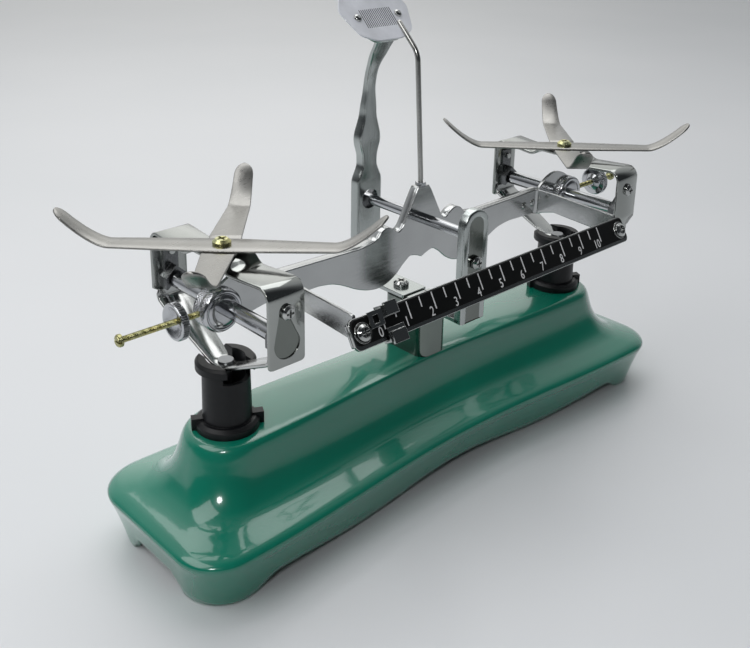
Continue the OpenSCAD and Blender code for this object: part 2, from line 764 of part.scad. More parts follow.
// Scale bar, black face and ticks, in the frame of the bar
face_t = 0.4;
face_low = -4.6;
face_high = 5.6;
tick_zero = -72.5;
tick_t = 0.15;
module scale_bar() {
    color("silver")
    on_scale()
    difference() {
        translate([-scale_l / 2, face_t, -scale_w / 2]) cube([scale_l, tab_back - face_t, scale_w]);
        for (side = [-1, 1])
            translate([side * scale_screw_x, 0, 0]) rotate([-90, 0, 0]) cylinder(h = 4, d = 3.2);
    }
}
module scale_face() {
    color("black")
    on_scale()
    difference() {
        translate([-scale_l / 2 + 0.8, 0, face_low])
            cube([scale_l - 1.6, face_t, face_high - face_low]);
        for (side = [-1, 1])
            translate([side * scale_screw_x, -1, 0]) rotate([-90, 0, 0]) cylinder(h = 4, d = 3.2);
    }
}
module scale_ticks() {
    color("white")
    on_scale()
    for (i = [0:20]) {
        long = i % 2 == 0;
        translate([tick_zero + i * tick_step / 2 - 0.25, -tick_t, long ? -1.8 : 1])
            cube([0.5, tick_t, long ? 7 : 4.2]);
    }
}
module scale_screws() {
    color("silver")
    on_scale()
    for (side = [-1, 1])
        translate([side * scale_screw_x, 0, 0]) rotate([90, 0, 0])
        pan_screw(6.6, 2, 3, tab_back + beam_t);
}

// Rider: a folded clip over the bar with a window tab at its reading edge
rider_gap = 0.3;
rider_t = 0.8;
rider_w = 8.6;
tab_l = 7;
rider_back = tab_back + rider_gap;
module rider() {
    left = tick_zero;
    front = -tick_t - rider_gap - rider_t;
    high = scale_w / 2 + rider_gap;
    color("silver")
    on_scale() {
        translate([left, rider_back, -high - rider_t]) cube([rider_w, rider_t, 2 * (high + rider_t)]);
        for (z = [high, -high - rider_t])
            translate([left, front, z]) cube([rider_w, rider_back + rider_t - front, rider_t]);
        translate([left, front, 2.6]) cube([rider_w, rider_t, high + rider_t - 2.6]);
        translate([left, front, -high - rider_t]) cube([rider_w, rider_t, high + rider_t - 1.6]);
        translate([left + 1.2, front - 1.2, high - 3.6]) cube([rider_w - 2.4, 1.21, 5.2]);
        translate([left + 0.6, front - 1.2, -high - 1.8]) cube([rider_w - 1.2, 1.21, 5]);
        difference() {
            translate([left - tab_l, front, 0.2]) cube([tab_l + eps, rider_t, 6.4]);
            translate([left - tab_l + 1.9, front - 1, 1.6]) cube([2.8, 3, 3.2]);
        }
    }
}

// Stirrup: one strip bent to two plates, lower shoulders and a raised middle under the cross
bend_r = 5.5;
seat_screw_z = 118.9;
shoulder_rise = 1.6;
shoulder_drop = 3.4;
saddle_half = 10;
function stirrup_line(inset) = concat(
    [
        [saddle_half, stirrup_top - inset],
        [saddle_half + 4.5, stirrup_top - shoulder_drop - inset],
        [stirrup_half - bend_r, stirrup_top - shoulder_rise - inset]
    ],
    [
        for (angle = [75:-15:0])
            [
                stirrup_half - bend_r + (bend_r - inset) * cos(angle),
                stirrup_top - shoulder_rise - bend_r + (bend_r - inset) * sin(angle)
            ]
    ],
    [[stirrup_half - inset, stirrup_low]]
);
module stirrup(side) {
    color("silver")
    difference() {
        yz_plate(side * end_x - stirrup_w / 2, side * end_x + stirrup_w / 2, concat(
            stirrup_line(0), reversed(stirrup_line(plate_t)),
            flipped(stirrup_line(plate_t)), reversed(flipped(stirrup_line(0)))
        ));
        translate([side * end_x, 0, stirrup_top - 5]) cylinder(h = 8, d = 3.6);
        translate([side * end_x, -50, seat_screw_z]) rotate([-90, 0, 0]) cylinder(h = 100, d = 3.2);
        if (side < 0) teardrop_recess(side);
        cut_corners(side, side < 0 ? [30, 50] : [-50, -30]);
    }
}
// One plate of each stirrup ends in a narrow tongue
module cut_corners(side, y) {
    for (edge = [-1, 1])
        translate([side * end_x, 0, 0])
        xz_plate(y[0], y[1], [
            [edge * (stirrup_w / 2 + 1), stirrup_low - 1],
            [edge * (stirrup_w / 2 + 1), stirrup_low + 6.4],
            [edge * (stirrup_w / 2 - 5.8), stirrup_low + 2.6],
            [edge * (stirrup_w / 2 - 5.8), stirrup_low - 1]
        ]);
}
module teardrop_recess(side) {
    translate([side * end_x, -stirrup_half + 0.5, 0]) rotate([90, 0, 0])
    linear_extrude(2) {
        translate([0, 106]) circle(6);
        translate([-1.6, 118]) circle(2);
        polygon([[-6, 106], [6, 106], [0.3, 118.6], [-3.5, 118.6]]);
    }
}

// Knife seats: small roofs with an inverted V notch, each held by a tongue under a screw
seat_half = 5.2;
seat_depth = 5.2;
tongue_half = 3.4;
seat_plate_t = 1.2;
module knife_seats(side) {
    z = end_z + knife_gap;
    back = stirrup_half - plate_t;
    color("dimgray")
    for (face = [-1, 1])
        difference() {
            union() {
                translate([side * end_x, 0, 0])
                    xz_plate(face > 0 ? back - seat_depth : -back, face > 0 ? back : seat_depth - back, [
                        [-seat_half, z - notch_rise], [-notch_half, z - notch_rise], [0, z],
                        [notch_half, z - notch_rise], [seat_half, z - notch_rise],
                        [seat_half, z + 1.4], [0, z + 6.2], [-seat_half, z + 1.4]
                    ]);
                translate([side * end_x, 0, 0])
                    xz_plate(face > 0 ? back - seat_plate_t : -back, face > 0 ? back : seat_plate_t - back, [
                        [-tongue_half, z + 1], [tongue_half, z + 1],
                        [tongue_half, seat_screw_z + 3.4], [-tongue_half, seat_screw_z + 3.4]
                    ]);
            }
            translate([side * end_x, -50, seat_screw_z]) rotate([-90, 0, 0]) cylinder(h = 100, d = 3);
        }
}
module stirrup_screws(side) {
    color("silver")
    for (face = [-1, 1])
        translate([side * end_x, face * stirrup_half, seat_screw_z]) rotate([-face * 90, 0, 0])
        pan_screw(6, 2.2, 3, plate_t + seat_plate_t + 1.4);
}

// V strap under the knives, dipping into the sleeve
strap_tip_z = 82.2;
strap_end_z = 100;
strap_lip = 2.8;
strap_flat = 3.5;
strap_tip_half = 4.5;
module v_strap(side) {
    y1 = stirrup_half - plate_t;
    down = plate_t * 1.1;
    slope = (strap_end_z - strap_tip_z) / (y1 - strap_flat);
    half_strap = [
        [strap_flat, strap_tip_z - down], [y1, strap_end_z - down], [y1, strap_end_z + strap_lip],
        [y1 - plate_t, strap_end_z + strap_lip], [y1 - plate_t, strap_end_z - slope * plate_t],
        [strap_flat, strap_tip_z]
    ];
    color("silver")
    translate([side * end_x, 0, 0])
    difference() {
        intersection() {
            yz_plate(-stirrup_w / 2, stirrup_w / 2, concat(half_strap, reversed(flipped(half_strap))));
            translate([0, 0, 70]) linear_extrude(50) polygon([
                [strap_tip_half, 0], [stirrup_w / 2 - 1, y1 - 6], [stirrup_w / 2 - 1, y1 + 1],
                [1 - stirrup_w / 2, y1 + 1], [1 - stirrup_w / 2, y1 - 6], [-strap_tip_half, 0],
                [1 - stirrup_w / 2, 6 - y1], [1 - stirrup_w / 2, -y1 - 1],
                [stirrup_w / 2 - 1, -y1 - 1], [stirrup_w / 2 - 1, 6 - y1]
            ]);
        }
        translate([0, 0, 70]) cylinder(h = 20, d = stem_d);
    }
}

// Stem: hangs from the V strap, runs down through the sleeve and ends in an eye
stem_d = 4.5;
stem_head_d = 6.5;
tongue_t = 3;
module stem(side) {
    color("silver")
    translate([side * end_x, 0, 0])
    difference() {
        union() {
            translate([0, 0, stay_pin_z + 6]) cylinder(h = strap_tip_z - stay_pin_z - 5, d = stem_d);
            translate([0, 0, strap_tip_z]) cylinder(h = 1.2, d = stem_head_d);
            translate([-4, -tongue_t / 2, stay_pin_z]) cube([8, tongue_t, 9]);
            translate([0, tongue_t / 2, stay_pin_z]) rotate([90, 0, 0]) cylinder(h = tongue_t, d = 8);
        }
        translate([0, -6, stay_pin_z]) rotate([-90, 0, 0])
            cylinder(h = 12, d = eye_pin_d + 2 * eye_gap);
    }
}

// Pan cross: two tapered strips with upturned tips, the lower one joggled level with the upper
cross_t = 1;
cross_curl = 20;
near_shorter = 6;
cross_mid_half = 6.8;
cross_tip_half = 4.2;
// The top and underside of one half of a strip; the strip bends up over its last stretch
function half_top(half, joggle) = concat(
    [[7.6, 0], [9.2, joggle], [half - cross_curl, joggle]],
    [
        for (t = [0.2:0.2:1])
            [half - cross_curl * (1 - t), joggle + cross_rise * pow(t, 1.5)]
    ]
);
function half_under(half, joggle) = [
    for (p = half_top(half, joggle))
        let (curled = p[0] > half - cross_curl)
        [p[0] + (curled ? 0.55 * cross_t : 0), p[1] - (curled ? 0.85 : 1) * cross_t]
];
module cross_strip(z, far_half, near_half, joggle) {
    far = far_half - cross_tip_half + 0.2;
    near = near_half - cross_tip_half + 0.2;
    intersection() {
        translate([0, 0, z])
            xz_plate(-10, 10, concat(
                half_under(far_half, joggle), reversed(half_top(far_half, joggle)),
                flipped(half_top(near_half, joggle)), reversed(flipped(half_under(near_half, joggle)))
            ));
        translate([0, 0, z - 5]) linear_extrude(cross_rise + 10) {
            polygon([
                [0, -cross_mid_half], [10, -cross_mid_half + 0.3],
                [far, -cross_tip_half], [far, cross_tip_half],
                [10, cross_mid_half - 0.3], [-10, cross_mid_half - 0.3],
                [-near, cross_tip_half], [-near, -cross_tip_half],
                [-10, -cross_mid_half + 0.3]
            ]);
            translate([far, 0]) circle(cross_tip_half);
            translate([-near, 0]) circle(cross_tip_half);
        }
    }
}
cross_low_z = stirrup_top + cross_t;
module cross_hole() {
    translate([0, 0, cross_low_z - 6]) cylinder(h = 12, d = 3.6);
}
module cross_upper(side) {
    color("lightgray")
    translate([side * end_x, 0, 0]) rotate(-cross_turn)
    difference() {
        cross_strip(cross_low_z + cross_t, cross_half, cross_half, 0);
        cross_hole();
    }
}
module cross_lower(side) {
    color("lightgray")
    translate([side * end_x, 0, 0]) rotate(90 - cross_turn)
    difference() {
        cross_strip(cross_low_z, cross_half, cross_half - near_shorter, cross_t);
        cross_hole();
    }
}
module cross_screw(side) {
    color("silver")
    translate([side * end_x, 0, cross_low_z + cross_t])
        pan_screw(7.4, 2.6, 3.6, 2 * cross_t + plate_t + 2.5);
    color("silver")
    translate([side * end_x, 0, stirrup_top - plate_t - 2.4])
    difference() {
        cylinder(h = 2.4, d = 6.4, $fn = 6);
        translate([0, 0, -1]) cylinder(h = 5, d = 3.5);
    }
}

placed() base_shell();
placed() sleeve(-1);  // sleeve_left
placed() sleeve(1);  // sleeve_right
placed() pedestal();
placed() rear_post();
placed() front_bracket();
placed() rear_bearing();
placed() front_bearing();
placed() stand_screws();
placed() pedestal_screws();
placed() bearing_screws();
placed() dial_plate();
placed() dial_rivets();
placed() stay_bracket();
placed() stay_pivot_pin();
placed() beam_frame();
placed() knife_arm(-1);  // knife_arm_left
placed() knife_arm(1);  // knife_arm_right
placed() knife_arm_rivets();
placed() centre_knife();
placed() pointer();
placed() pointer_nut();
placed() hub(-1);  // hub_left
placed() hub(1);  // hub_right
placed() end_knife(-1);  // end_knife_left
placed() end_knife(1);  // end_knife_right
placed() balance_rod(-1);  // balance_rod_left
placed() balance_rod(1);  // balance_rod_right
placed() scale_bar();
placed() scale_face();
placed() scale_ticks();
placed() scale_screws();
placed() rider();
placed() balance_nut(-1, nut_left_x);  // balance_nut_left
placed() balance_nut(1, nut_right_x);  // balance_nut_right
placed() stirrup(-1);  // stirrup_left
placed() v_strap(-1);  // v_strap_left
placed() stem(-1);  // stem_left
placed() knife_seats(-1);  // knife_seats_left
placed() stirrup_screws(-1);  // stirrup_screws_left
placed() cross_upper(-1);  // cross_upper_left
placed() cross_lower(-1);  // cross_lower_left
placed() cross_screw(-1);  // cross_screw_left
placed() stirrup(1);  // stirrup_right
placed() v_strap(1);  // v_strap_right
placed() stem(1);  // stem_right
placed() knife_seats(1);  // knife_seats_right
placed() stirrup_screws(1);  // stirrup_screws_right
placed() cross_upper(1);  // cross_upper_right
placed() cross_lower(1);  // cross_lower_right
placed() cross_screw(1);  // cross_screw_right
placed() stay_lever();
placed() stay_bush();
placed() stay_end_pins();
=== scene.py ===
"""Looks of the table balance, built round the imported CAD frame.

Lengths are in millimetres with X = 0 in the middle, Y = 0 on the beam line and Z = 0 on the table; row()
turns them into metres in the shared frame. Each piece is plain mesh code and rides on its CAD body.
"""
import json
import math

import bmesh
import bpy
from mathutils import Euler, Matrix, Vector

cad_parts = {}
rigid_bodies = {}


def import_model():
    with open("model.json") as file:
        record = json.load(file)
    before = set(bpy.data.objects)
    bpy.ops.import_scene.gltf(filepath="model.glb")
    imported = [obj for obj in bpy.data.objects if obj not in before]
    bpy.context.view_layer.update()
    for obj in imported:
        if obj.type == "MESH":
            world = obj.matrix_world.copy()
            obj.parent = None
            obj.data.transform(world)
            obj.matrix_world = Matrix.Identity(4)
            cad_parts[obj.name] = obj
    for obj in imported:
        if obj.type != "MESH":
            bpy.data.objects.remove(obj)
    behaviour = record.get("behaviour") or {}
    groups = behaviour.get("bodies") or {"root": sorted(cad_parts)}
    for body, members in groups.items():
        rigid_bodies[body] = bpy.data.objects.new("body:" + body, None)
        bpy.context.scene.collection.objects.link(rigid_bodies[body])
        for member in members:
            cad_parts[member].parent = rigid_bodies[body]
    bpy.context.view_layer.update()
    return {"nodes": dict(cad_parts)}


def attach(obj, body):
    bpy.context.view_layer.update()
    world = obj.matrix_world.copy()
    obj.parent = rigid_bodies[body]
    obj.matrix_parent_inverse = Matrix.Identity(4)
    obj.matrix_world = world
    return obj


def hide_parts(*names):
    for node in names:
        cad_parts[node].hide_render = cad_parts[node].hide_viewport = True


for obj in list(bpy.data.objects):
    bpy.data.objects.remove(obj)
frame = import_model()
nodes = frame["nodes"]

BEAM_LINE_Y = 6.4  # the beam line in the shared frame
PIVOT_Z = 118.8  # centre knife
END_X, END_Z = 108.5, 107.0  # end knives, and the middle of each pan support
DECK_Z = 53.5  # top of the base
SIDES = {"left": -1, "right": 1}


def row(p):
    return Vector((p[0] * 0.001, (p[1] + BEAM_LINE_Y) * 0.001, p[2] * 0.001))


def arc(centre, r, start, end, steps):
    """Points on a circle between two angles in degrees."""
    angles = [math.radians(start + (end - start) * k / steps) for k in range(steps + 1)]
    return [(centre[0] + r * math.cos(a), centre[1] + r * math.sin(a)) for a in angles]


# ---------------------------------------------------------------- materials
class Nodes:
    """Builds one node material on the Principled shader."""

    def __init__(self, name):
        self.mat = bpy.data.materials.new(name)
        self.mat.use_nodes = True
        self.tree = self.mat.node_tree
        self.shader = self.tree.nodes["Principled BSDF"]

    def add(self, kind, **values):
        node = self.tree.nodes.new("ShaderNode" + kind)
        for key, value in values.items():
            if key in node.inputs:
                node.inputs[key].default_value = value
            else:
                setattr(node, key, value)
        return node

    def link(self, a, b):
        self.tree.links.new(a, b)

    def set(self, **values):
        for key, value in values.items():
            self.shader.inputs[key.replace("_", " ")].default_value = value

    def place(self, scale=(1, 1, 1), turn=0.0):
        """Object coordinates in metres, turned about Z and scaled."""
        coord = self.add("TexCoord")
        mapping = self.add("Mapping")
        mapping.inputs["Rotation"].default_value = (0, 0, turn)
        mapping.inputs["Scale"].default_value = scale
        self.link(coord.outputs["Object"], mapping.inputs["Vector"])
        return mapping.outputs["Vector"]

    def noise(self, where, scale, detail=3.0, rough=0.5):
        node = self.add("TexNoise")
        node.inputs["Scale"].default_value = scale
        node.inputs["Detail"].default_value = detail
        node.inputs["Roughness"].default_value = rough
        self.link(where, node.inputs["Vector"])
        return node.outputs["Fac"]

    def spread(self, value, low, high, start=0.3, end=0.7):
        """Maps the middle of a noise value onto low to high."""
        node = self.add("MapRange")
        node.inputs["From Min"].default_value = start
        node.inputs["From Max"].default_value = end
        node.inputs["To Min"].default_value = low
        node.inputs["To Max"].default_value = high
        self.link(value, node.inputs["Value"])
        return node.outputs["Result"]

    def mix(self, factor, a, b):
        node = self.add("Mix", data_type="RGBA")
        node.inputs["A"].default_value = (*a, 1)
        node.inputs["B"].default_value = (*b, 1)
        self.link(factor, node.inputs["Factor"])
        return node.outputs["Result"]

    def normal(self, height, strength, distance, edge=0.0):
        """Bump from height over edges rounded by the given radius in metres."""
        bump = self.add("Bump")
        bump.inputs["Strength"].default_value = strength
        bump.inputs["Distance"].default_value = distance
        self.link(height, bump.inputs["Height"])
        if edge:
            bevel = self.add("Bevel", samples=6)
            bevel.inputs["Radius"].default_value = edge
            self.link(bevel.outputs["Normal"], bump.inputs["Normal"])
        self.link(bump.outputs["Normal"], self.shader.inputs["Normal"])


def plated(name, colour, rough, spread=0.05, edge=0.0003, grain=(1, 1, 1), turn=0.0, dull=0.86, bump=0.12):
    """Plated or polished metal: cloudy colour, uneven polish and fine draw lines along the grain."""
    m = Nodes(name)
    m.set(Metallic=1.0)
    cloud = m.noise(m.place(), 45, 4)
    m.link(m.mix(m.spread(cloud, 0, 1), colour, [c * dull for c in colour]), m.shader.inputs["Base Color"])
    lines = m.noise(m.place(grain, turn), 900, 5, 0.65)
    m.link(m.spread(lines, rough, rough + spread), m.shader.inputs["Roughness"])
    m.normal(lines, bump, 0.00002, edge)
    return m.mat


def enamel():
    """Green stove enamel: a glossy coat over a slightly cloudy colour, with a wave and fine orange peel."""
    m = Nodes("green_enamel")
    m.set(Roughness=0.25, Coat_Weight=1.0, Coat_Roughness=0.06, Coat_IOR=1.52, IOR=1.45)
    cloud = m.noise(m.place(), 14, 5)
    tint = m.mix(m.spread(cloud, 0, 1, 0.25, 0.75), (0.001, 0.195, 0.122), (0.003, 0.220, 0.142))
    m.link(tint, m.shader.inputs["Base Color"])
    wave = m.noise(m.place(), 38, 2)
    peel = m.noise(m.place(), 420, 2)
    both = m.add("Math", operation="MULTIPLY_ADD")
    both.inputs[1].default_value = 14.0
    m.link(wave, both.inputs[0])
    m.link(peel, both.inputs[2])
    m.normal(both.outputs[0], 0.35, 0.00003)
    m.link(m.shader.inputs["Normal"].links[0].from_socket, m.shader.inputs["Coat Normal"])
    return m.mat


def moulded(name, colour, rough, edge=0.0004, bump=0.25, coat=0.0, ior=1.45):
    """Moulded or painted surface with a fine uneven skin."""
    m = Nodes(name)
    m.set(IOR=ior, Coat_Weight=coat, Coat_Roughness=0.08)
    cloud = m.noise(m.place(), 90, 4)
    m.link(m.mix(m.spread(cloud, 0, 1), colour, [c * 0.8 for c in colour]), m.shader.inputs["Base Color"])
    skin = m.noise(m.place(), 700, 3)
    m.link(m.spread(skin, rough, rough + 0.1), m.shader.inputs["Roughness"])
    m.normal(skin, bump, 0.00003, edge)
    return m.mat


def yellow_zinc(name, thread, light=1.0):
    """Yellow chromate over zinc with drifting tints, and the fine ridges of a thread along X."""
    m = Nodes(name)
    m.set(Metallic=1.0)
    drift = m.noise(m.place(), 160, 3)
    tints = [[c * light for c in tint] for tint in ((0.50, 0.45, 0.20), (0.36, 0.37, 0.21))]
    m.link(m.mix(m.spread(drift, 0, 1), *tints), m.shader.inputs["Base Color"])
    skin = m.noise(m.place(), 1500, 3)
    m.link(m.spread(skin, 0.2, 0.34), m.shader.inputs["Roughness"])
    if thread:
        wave = m.add("TexWave", bands_direction="X")
        wave.inputs["Scale"].default_value = 720
        m.link(m.place(), wave.inputs["Vector"])
        m.normal(wave.outputs["Fac"], 0.6, 0.00012)
    else:
        m.normal(skin, 0.2, 0.00002, 0.0003)
    return m.mat


ALONG_A, ALONG_B = math.radians(44), math.radians(-46)  # grain of the two strips of a cross
# Each look: its material, and the name of the record's material slot it stands for, which the script holds
# but does not use
LOOKS = {
    "green": (enamel(), "green_enamel"),
    "black": (moulded("black_plastic", (0.005, 0.0056, 0.007), 0.36, ior=1.38), "black_plastic"),
    # The nickel colour is darkened and tinted green: a painted reflection of the green deck over the metal's
    # own grey
    "nickel": (plated("nickel_plate", (0.20, 0.23, 0.21), 0.1, 0.08, bump=0.05), "nickel_plate"),
    "bright": (plated("bright_plate", (0.50, 0.51, 0.50), 0.07, 0.08), "bright_plate"),
    "stirrup": (plated("stirrup_plate", (0.38, 0.395, 0.38), 0.09, 0.08, grain=(1, 0.15, 0.15)),
                "bright_plate"),
    "beam": (plated("beam_plate", (0.50, 0.51, 0.51), 0.12, 0.1, grain=(0.1, 1, 1)), "beam_plate"),
    "strap": (plated("strap_plate", (0.52, 0.53, 0.52), 0.12, 0.1, grain=(1, 0.1, 1)), "bright_plate"),
    "steel": (plated("polished_steel", (0.56, 0.57, 0.59), 0.1, 0.08), "polished_steel"),
    "post": (plated("post_plate", (0.47, 0.50, 0.49), 0.16, 0.1, grain=(1, 1, 0.1)), "bright_plate"),
    "satin_a": (plated("cross_plate_a", (0.31, 0.305, 0.29), 0.24, 0.14, grain=(0.06, 1, 1), turn=ALONG_A),
                "bright_plate"),
    "satin_b": (plated("cross_plate_b", (0.31, 0.305, 0.29), 0.24, 0.14, grain=(0.06, 1, 1), turn=ALONG_B),
                "bright_plate"),
    "wire": (plated("pointer_wire", (0.50, 0.50, 0.48), 0.16, 0.1, edge=0), "polished_steel"),
    "dark": (plated("dark_steel", (0.17, 0.175, 0.18), 0.22, 0.14), "dark_steel"),
    "zinc": (plated("plain_zinc", (0.27, 0.28, 0.29), 0.28, 0.16), "plain_zinc"),
    # painted shade: a darker copy of the bright plate, given to the floors of sunk faces
    "painted_shade": (plated("painted_shade_plate", (0.20, 0.215, 0.20), 0.12, 0.1, grain=(1, 1, 0.15), edge=0),
              "bright_plate"),
    "bronze": (plated("bronze", (0.58, 0.37, 0.17), 0.25, 0.12), "bronze"),
    "rod": (yellow_zinc("yellow_zinc_thread", True), "yellow_zinc"),
    "yellow": (yellow_zinc("yellow_zinc", False, 1.4), "yellow_zinc"),
    "dial": (moulded("dial_enamel", (0.80, 0.82, 0.88), 0.3, coat=0.4, bump=0.12), "dial_enamel"),
    "ink": (moulded("dial_ink", (0.02, 0.02, 0.03), 0.45, edge=0), "scale_black"),
    "scale": (moulded("scale_black", (0.005, 0.0055, 0.0055), 0.34, bump=0.1, ior=1.32), "scale_black"),
    "marks": (moulded("scale_white", (0.86, 0.87, 0.88), 0.4, edge=0), "scale_white"),
}


# ---------------------------------------------------------------- mesh helpers
def closed_mesh(name, points, faces):
    """A mesh from beam-line millimetres with its faces turned outwards."""
    mesh = bpy.data.meshes.new(name)
    mesh.from_pydata([row(p) for p in points], [], faces)
    bm = bmesh.new()
    bm.from_mesh(mesh)
    bmesh.ops.recalc_face_normals(bm, faces=bm.faces)
    bm.to_mesh(mesh)
    bm.free()
    return mesh


def add_object(name, data):
    obj = bpy.data.objects.new(name, data)
    bpy.context.scene.collection.objects.link(obj)
    return obj


def piece(name, body, look, points, faces, replaces=(), smooth=32, edge=0.0):
    """A new mesh on a body. Edges below smooth degrees are shaded round; edge is a rounding in mm."""
    mesh = closed_mesh(name, points, faces)
    mesh.shade_smooth()
    mesh.set_sharp_from_angle(angle=math.radians(smooth))
    obj = add_object(name, mesh)
    if edge:
        bevel = obj.modifiers.new("edge", "BEVEL")
        bevel.width = edge * 0.001
        bevel.segments = 2
        bevel.limit_method = "ANGLE"
        bevel.angle_limit = math.radians(40)
        bevel.harden_normals = True
    material, slot = LOOKS[look]
    mesh.materials.append(material)
    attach(obj, body)
    if replaces:
        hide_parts(*replaces)
    return obj


def grid_faces(rows, columns, wrap_rows=False):
    """Faces of a grid of rings, each of the same number of points."""
    faces = []
    for i in range(rows if wrap_rows else rows - 1):
        for j in range(columns):
            a, b = i * columns + j, i * columns + (j + 1) % columns
            k = (i + 1) % rows
            faces.append((a, b, k * columns + (j + 1) % columns, k * columns + j))
    return faces


def capped(rows, columns):
    """Faces of a tube of rings with both ends closed."""
    return grid_faces(rows, columns) + [
        tuple(range(columns))[::-1],
        tuple((rows - 1) * columns + j for j in range(columns)),
    ]


def lathe(name, body, look, centre, axis, profile, replaces=(), around=96, radius=None, closed=False,
          smooth=32):
    """Turns (distance along an axis, radius) points about it; radius(along, r, angle) may cut a knurl."""
    axis = Vector(axis).normalized()
    u = axis.orthogonal().normalized()
    v = axis.cross(u)
    points = []
    for along, r in profile:
        for k in range(around):
            angle = 2 * math.pi * k / around
            rr = radius(along, r, angle) if radius else r
            points.append(Vector(centre) + axis * along + (u * math.cos(angle) + v * math.sin(angle)) * rr)
    n = len(profile)
    faces = grid_faces(n, around, wrap_rows=closed) if closed else capped(n, around)
    return piece(name, body, look, points, faces, replaces, smooth)


def catmull(points, steps, closed=False):
    """A smooth curve through points of any number of coordinates."""
    out, n = [], len(points)
    for i in range(n if closed else n - 1):
        near = [(i + k) % n if closed else min(n - 1, max(0, i + k)) for k in (-1, 0, 1, 2)]
        p = [Vector(points[k]) for k in near]
        for s in range(steps):
            t = s / steps
            out.append(
                0.5 * (2 * p[1] + (p[2] - p[0]) * t + (2 * p[0] - 5 * p[1] + 4 * p[2] - p[3]) * t * t
                       + (3 * p[1] - p[0] - 3 * p[2] + p[3]) * t ** 3)
            )
    if not closed:
        out.append(Vector(points[-1]))
    return out


def filleted(points, radius, steps=5):
    """A 2-D line with each inner corner rounded."""
    out = [Vector(points[0])]
    for a, b, c in zip(points, points[1:], points[2:]):
        a, b, c = Vector(a), Vector(b), Vector(c)
        cut = min(radius, (a - b).length * 0.45, (c - b).length * 0.45)
        start, end = b + (a - b).normalized() * cut, b + (c - b).normalized() * cut
        for s in range(steps + 1):
            t = s / steps
            out.append(start * (1 - t) ** 2 + b * 2 * t * (1 - t) + end * t * t)
    return out + [Vector(points[-1])]


def dense_line(line, step):
    """The same line with no point further than about one step from the next."""
    out = [line[0]]
    for a, b in zip(line, line[1:]):
        steps = max(1, int((b - a).length / step))
        out += [a.lerp(b, k / steps) for k in range(1, steps + 1)]
    return out


def mirrored(half):
    """A line that starts on the middle, carried on to the other side of it."""
    return [Vector((-p[0], p[1])) for p in half[:0:-1]] + [Vector(p) for p in half]


def strip(name, body, look, line, half_width, thick, put, replaces=()):
    """A bent sheet; line holds (run, height) on its outer side, put(run, across, height) places points."""
    line = [Vector(p) for p in line]
    points, ring = [], 12
    for i, p in enumerate(line):
        ahead = (line[min(i + 1, len(line) - 1)] - line[max(i - 1, 0)]).normalized()
        inward = Vector((ahead.y, -ahead.x))
        w = half_width(p)
        r = min(0.45 * thick, 0.5 * w)
        for k in range(ring):
            corner = k // 3
            sx, sz = ((1, 1), (-1, 1), (-1, -1), (1, -1))[corner]
            angle = math.radians(90 * corner + 15 + 30 * (k % 3))
            across = sx * (w - r) + r * math.cos(angle)
            up = sz * (thick / 2 - r) + r * math.sin(angle)
            q = p + inward * (thick / 2 - up)
            points.append(put(q.x, across, q.y))
    return piece(name, body, look, points, capped(len(line), ring), replaces, smooth=50)


def plate(name, body, look, outline, put, thick, replaces=(), edge=0.25, holes=()):
    """A flat sheet of the given closed 2-D outline; put(a, b, depth) places its points."""
    bm = bmesh.new()
    loops = [outline, *holes]
    edges = []
    for loop in loops:
        verts = [bm.verts.new(put(p[0], p[1], 0)) for p in loop]
        edges += [bm.edges.new((a, b)) for a, b in zip(verts, verts[1:] + verts[:1])]
    if holes:
        bmesh.ops.triangle_fill(bm, edges=edges, use_beauty=True)
    else:
        bm.faces.new(list(bm.verts))
    flat = len(bm.verts)
    bm.verts.index_update()
    faces = [[v.index for v in f.verts] for f in bm.faces]
    points = [v.co.copy() for v in bm.verts]
    depth = Vector(put(0, 0, thick)) - Vector(put(0, 0, 0))
    bm.free()
    points += [p + depth for p in points]
    out = [tuple(f) for f in faces] + [tuple(i + flat for i in reversed(f)) for f in faces]
    start = 0
    for loop in loops:
        n = len(loop)
        for i in range(n):
            a, b = start + i, start + (i + 1) % n
            out.append((a, b, flat + b, flat + a))
        start += n
    return piece(name, body, look, points, out, replaces, smooth=40, edge=edge)


def rounded(w, h, r, cx=0.0, cy=0.0, steps=6):
    """The outline of a rectangle with round corners."""
    out = []
    for k, (sx, sy) in enumerate(((1, 1), (-1, 1), (-1, -1), (1, -1))):
        out += arc((cx + sx * (w / 2 - r), cy + sy * (h / 2 - r)), r, 90 * k, 90 * k + 90, steps)
    return out


def carve(obj, points, faces):
    """Cuts a closed solid, given in beam-line millimetres, out of a piece."""
    mesh = closed_mesh("cutter", points, faces)
    cutter = add_object("cutter", mesh)
    cut = obj.modifiers.new("cut", "BOOLEAN")
    cut.operation = "DIFFERENCE"
    cut.solver = "EXACT"
    cut.object = cutter
    order = [m.name for m in obj.modifiers]
    obj.modifiers.move(order.index("cut"), 0)
    hidden = [m for m in obj.modifiers if m.name != "cut"]
    for m in hidden:
        m.show_viewport = False
    graph = bpy.context.evaluated_depsgraph_get()
    graph.update()
    new = bpy.data.meshes.new_from_object(obj.evaluated_get(graph))
    obj.modifiers.remove(obj.modifiers["cut"])
    for m in hidden:
        m.show_viewport = True
    old = obj.data
    obj.data = new
    new.shade_smooth()
    new.set_sharp_from_angle(angle=math.radians(32))
    bpy.data.meshes.remove(old)
    bpy.data.objects.remove(cutter)
    bpy.data.meshes.remove(mesh)


def prism(outline, put, low, high):
    """Points and faces of a closed outline swept from low to high; put(a, b, depth) places its points."""
    n = len(outline)
    points = [put(a, b, d) for d in (low, high) for a, b in outline]
    faces = [tuple(range(n))[::-1], tuple(range(n, 2 * n))]
    faces += [(i, (i + 1) % n, n + (i + 1) % n, n + i) for i in range(n)]
    return points, faces


def circle(r, cx=0.0, cy=0.0, steps=32):
    return arc((cx, cy), r, 0, 360, steps)[:-1]


def ease(x):
    """0 to 1 with a level start and end."""
    x = min(1.0, max(0.0, x))
    return x * x * (3 - 2 * x)


